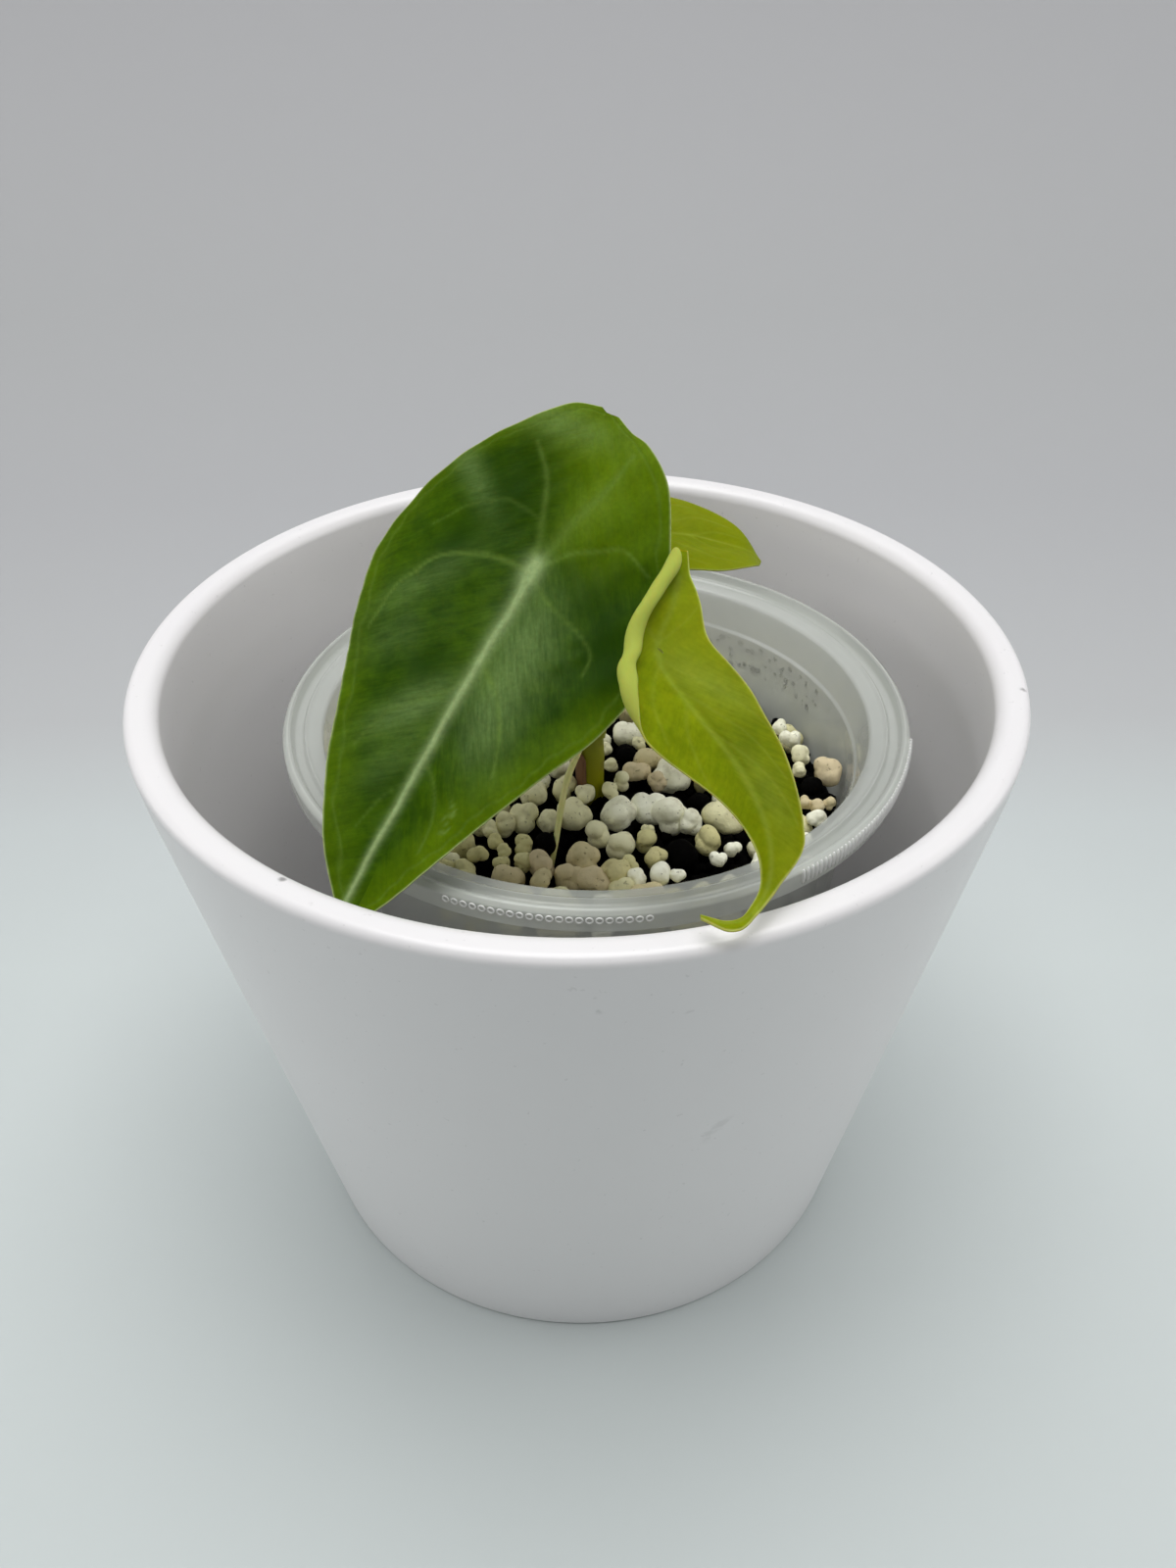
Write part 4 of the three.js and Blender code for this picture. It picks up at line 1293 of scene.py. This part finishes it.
big_leaf = Leaf(
    midrib=[
        (5.8, 3.9, 170.2),
        (-6.9, -14.2, 150),
        (-20, -35.4, 133.4),
        (-33, -57, 117),
        (-35.6, -61, 113.5),
    ],
    joint=1,
    pitch=38,
    sections=[[-30, 33, 13, 10, -1.2, 10, -1.2], [65, 32, 10, 10, -1.2, 10, -1.2]],
    ribs=[
        [-28.6, [-29.3, 1.2], [-28.4, -2.5]], [-26, [-28, 6], [-26.6, -5.6]],
        [-22, [-23.5, 11.5], [-25.2, -9.5]], [-17, [-14.5, 20.5], [-20.5, -14.8]],
        [-10, [-4.5, 26.5], [-12, -19]], [-1, [5.5, 29], [-2, -22.8]],
        [10, [17, 26], [10, -24.6]], [22, [30, 20.8], [22, -22]],
        [35, [42, 16.2], [32.5, -16.8]], [48, [53, 10.6], [46, -10.2]],
        [58, [60, 5.2], [57, -5]], [64.6, [64.8, 0.4], [64.8, -0.4]],
    ],
    slants=(56, 28),
)
big_marks = {
    "main": big_main,
    "fine": big_fine,
    "bloom": patches(BIG_PAINTED_SHEEN),
    "shade": patches(BIG_SHADE),
    "ripe": big_ripe,
}
big_blade = big_leaf.blade("big_leaf", 190, 150, big_marks, big_relief)
# The third colour is the silver of the painted sheen.
big_paints = [
    (30, 58, 1), (66, 96, 2), (106, 132, 74), (106, 134, 2),
    (156, 178, 120), (190, 204, 140), (96, 114, 50),
]
big_blade.data.materials.append(leaf_skin("mature_leaf_skin", big_paints, 0.1, 0.001))
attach(big_blade, "root")
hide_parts("big_leaf_blade")

# The young leaf on the right: thin, light yellow-green, still half rolled. Its left margin turns
# over and shows the pale underside, and its tip hooks round above the pot's lip.
YOUNG_MIDRIB = [(-14, 0), (0, 0), (10, -0.4), (20, -1), (30, -0.8), (38, 0), (50, 0)]
YOUNG_SIDE_VEINS = [
    ([(0, 0), (4, -3), (8, -6), (14, -8.5), (20, -9)], 0.35, 0.2, 0.4),
    ([(6, -0.2), (11, -3), (16, -5.4), (24, -6.4)], 0.35, 0.2, 0.35),
    ([(14, -0.6), (19, -3), (25, -4.6), (31, -5)], 0.3, 0.2, 0.35),
    ([(2, 0), (6, 3), (11, 6), (18, 8)], 0.35, 0.2, 0.4),
    ([(10, 0), (15, 3), (21, 5), (28, 5.4)], 0.3, 0.2, 0.35),
    ([(-2, 0), (-5, -3), (-9, -4.6)], 0.35, 0.2, 0.4),
    ([(-2, 0), (-6, 4), (-10, 7)], 0.35, 0.2, 0.4),
]
YOUNG_CREASE = [(4, -1.5), (11, -2), (17, -2.6), (22, -3.6)]
YOUNG_FOLD = [(2, -0.6), (10, -1), (18, -1.6), (26, -1.6)]
# Painted sheen on the young leaf: silvery patches where light glances off it.
YOUNG_PAINTED_SHEEN = [((6, -5), (7, 3), -30, 0.35), ((26, -3), (7, 2), 0, 0.3)]
YOUNG_RIPE = [((-4, -4), (8, 5), 0, 0.4), ((36, 0), (6, 3), 0, 0.3)]


def young_main(x, y, from_edge):
    return 0.25 * vein(x, y, YOUNG_MIDRIB, 0.7, 0.3)


def young_shade(x, y, from_edge):
    crease = vein(x, y, YOUNG_CREASE, 0.9, 0.5)
    return np.clip(0.3 * crease + 0.2 * patch(x, y, (-6, -3), (6, 3)), 0, 1)


def young_relief(x, y, from_edge, drawn):
    waves = 0.1 * np.sin(0.55 * x + 0.5 * np.abs(y)) * np.sin(0.6 * np.abs(y) + 0.5)
    return waves - 0.16 * vein(x, y, YOUNG_FOLD, 0.8, 0.5) - 0.12 * drawn["fine"]


young_leaf = Leaf(
    midrib=[
        (16.2, -24.4, 157),
        (14.1, -33.2, 153.5),
        (11.5, -40.4, 149.5),
        (15.6, -49.5, 146),
        (20.5, -56.7, 142),
        (23.6, -62.5, 138.5),
        (25.4, -67.1, 134.8),
        (25.2, -71.2, 132),
        (22.4, -75.5, 130.9),
        (19.2, -76.9, 130.7),
        (16, -75.4, 130.6),
    ],
    joint=2,
    pitch=25,
    sections=[
        [-20, -8, 14, 14, 1.2, 26, 1.5],
        [-10, -8, 14, 12, 1.2, 24, 1.2],
        [0, -8, 14, 10, 1, 20, 0.8],
        [8, -8, 13, 8, 0.8, 17, 0.6],
        [14, -8, 12, 7, 0.6, 16, 0.6],
        [26, -8, 10, 8, 0.4, 16, 0.6],
        [34, -6, 5, 12, 0.3, 16, 0.5],
        [42, 55, 0, 12, 0, 12, 0],
        [48, 95, 0, 10, 0, 10, 0],
    ],
    ribs=[
        [-19.5, [-19.6, 1.4], [-19.5, -0.6]], [-17.5, [-17.8, 4.2], [-17.5, -1.1]],
        [-14.5, [-14.5, 6.8], [-14.5, -1.8]], [-11, [-11, 8.2], [-11, -3.3]],
        [-7, [-7, 9], [-7, -5]], [-3, [-3, 9], [-3.3, -6.8]],
        [0.5, [0.5, 9.4], [0, -8.4]], [4.6, [4.6, 12], [3.5, -9.6]],
        [9, [8, 13.4], [8.2, -10]], [14, [12.5, 13.6], [13.7, -9.4]],
        [18, [16.5, 12.2], [18.2, -8.7]], [21, [20.3, 10.2], [21.4, -8]],
        [24, [23.2, 7.8], [25, -7.2]], [27.5, [26.6, 4.7], [28.5, -6.4]],
        [31, [30, 2.8], [31.2, -5.7]], [34.5, [34.1, 1.7], [34.4, -4.7]],
        [38.5, [38.5, 1.25], [38.2, -1.5]], [43.5, [43.4, 1], [43.5, -0.6]],
        [46.5, [46, 0.6], [46.5, -1.6]], [49, [49, 0.5], [49, -1]],
        [51.6, [51.6, 0.3], [51.5, -0.4]],
    ],
    rolled=[
        [-19, 0.9], [-14, 2.3], [-7, 4.4], [0, 4.6], [4.6, 7.4], [7.6, 8.8], [11, 9.9], [18, 10.8],
    ],
)
young_marks = {
    "main": young_main,
    "fine": side_veins(YOUNG_SIDE_VEINS),
    "bloom": patches(YOUNG_PAINTED_SHEEN),
    "shade": young_shade,
    "ripe": patches(YOUNG_RIPE, 0.3),
}
young_blade = young_leaf.blade("young_leaf", 170, 120, young_marks, young_relief)
young_paints = [
    (88, 108, 2), (132, 148, 12), (144, 160, 64), (136, 148, 2),
    (150, 166, 70), (186, 196, 108), (158, 170, 70),
]
young_blade.data.materials.append(leaf_skin("young_leaf_skin", young_paints, 0.3, 0.002))
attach(young_blade, "root")
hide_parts("young_leaf_blade")

# The small leaf behind: thin, yellow-green and nearly flat, half hidden by the big one. Its tip
# points to the right, and it is drawn and bent by the same rule as the other two.
BACK_MIDRIB = [(-12, 0), (0, 0), (10, 0), (20, -0.3), (31, 0)]
BACK_SIDE_VEINS = [
    ([(0, 0), (5, 4), (11, 8), (18, 9.5)], 0.35, 0.2, 0.6),
    ([(8, 0), (13, 3.4), (19, 6.4), (25, 6)], 0.35, 0.2, 0.6),
    ([(0, 0), (5, -4), (11, -7.6), (18, -8.8)], 0.35, 0.2, 0.6),
    ([(8, 0), (13, -3.4), (19, -5.8), (25, -5.4)], 0.35, 0.2, 0.6),
    ([(16, -0.2), (21, 2.4), (26, 3)], 0.3, 0.2, 0.5),
    ([(16, -0.2), (21, -2.6), (26, -3)], 0.3, 0.2, 0.5),
    ([(-1, 0), (-6, 4), (-9, 7)], 0.35, 0.2, 0.5),
    ([(-1, 0), (-6, -4), (-9, -7)], 0.35, 0.2, 0.5),
]


def back_main(x, y, from_edge):
    return 0.4 * vein(x, y, BACK_MIDRIB, 0.6, 0.25)


def back_relief(x, y, from_edge, drawn):
    waves = 0.15 * np.sin(0.5 * x + 0.5 * np.abs(y)) * np.sin(0.5 * np.abs(y) + 0.6)
    return waves + 0.1 * drawn["main"] - 0.12 * drawn["fine"]


back_leaf = Leaf(
    midrib=[
        (-8, 1.5, 147.5),
        (4.5, 3.5, 147.2),
        (18, 6.5, 145.6),
        (30, 8.5, 141.6),
        (34, 9, 138.8),
    ],
    joint=1,
    pitch=12,
    sections=[[-20, -98, -8, 14, -1.4, 14, -1.4], [40, -98, -8, 14, -1.4, 14, -1.4]],
    ribs=[
        [-13, [-13.3, 0.8], [-13.3, -0.8]], [-10.5, [-12, 6.5], [-12, -6.5]],
        [-6, [-6.5, 11], [-7, -10.5]], [1, [2, 12.4], [0, -11.6]],
        [10, [11, 12.2], [10, -11.6]], [18, [19.5, 10.8], [19, -10.4]],
        [25, [26, 7.2], [26, -7.2]], [29.5, [29.8, 3.4], [29.8, -3.4]],
        [31.4, [31.4, 0.4], [31.4, -0.4]],
    ],
)
back_marks = {
    "main": back_main,
    "fine": side_veins(BACK_SIDE_VEINS),
    # painted sheen: a silvery patch where light glances off the blade
    "bloom": patches([((14, -5), (8, 3), 0, 0.2)]),
    "shade": patches([((6, -3), (6, 4), 0, 0.4)]),
    "ripe": lambda x, y, from_edge: np.clip(0.4 + 0.5 * (1 - from_edge / 6), 0, 1),
}
back_blade = back_leaf.blade("back_leaf", 110, 90, back_marks, back_relief)
back_paints = [
    (98, 112, 4), (120, 133, 8), (134, 146, 50), (128, 138, 6),
    (146, 156, 54), (160, 170, 84), (128, 142, 60),
]
back_blade.data.materials.append(leaf_skin("back_leaf_skin", back_paints, 0.15, 0.001))
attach(back_blade, "root")
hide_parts("back_leaf_blade")

# Stalks: smooth round petioles that carry the blades, a little thicker at both ends. They fork from
# the top of the stem, and each ends just in the underside of its blade.


def fork(x, y):
    """Foot of a stalk on top of the stem."""
    return (STEM_TOP[0] + x, STEM_TOP[1] + y, STEM_TOP[2] - 0.4)


def socket(leaf):
    """Where a stalk ends, just in the underside of its blade."""
    x = np.array([0.0, 0.4, 0.0])
    y = np.array([0.0, 0.0, 0.4])
    at, ahead, left = leaf.bent(x, y)
    up = np.cross(left - at, ahead - at)
    return tuple(at - up / np.linalg.norm(up) * 0.3)


for name, node, path, radii in (
    (
        "big_leaf_petiole",
        "big_leaf_stalk",
        [fork(-1.3, -0.9), (-0.6, -4, 126), (-3.6, -5.4, 139), socket(big_leaf)],
        [1.6, 1.3, 1.2, 1.15, 1.2, 1.5],
    ),
    (
        "young_leaf_petiole",
        "young_leaf_stalk",
        [
            fork(1.4, -0.8),
            (6.6, -3.6, 124),
            (12.8, -9, 136),
            (15.6, -23, 143.5),
            (13.4, -35, 145),
            socket(young_leaf),
        ],
        [1.5, 1.2, 1.1, 1.0, 1.0, 1.2],
    ),
    (
        "back_leaf_petiole",
        "back_leaf_stalk",
        [fork(0.2, 1.5), (3.2, 0.2, 124), (4.4, 3, 137), socket(back_leaf)],
        [1.5, 1.15, 1.0, 0.95, 1.2],
    ),
):
    petiole = stalk(name, path, radii, stalk_green)
    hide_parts(node)
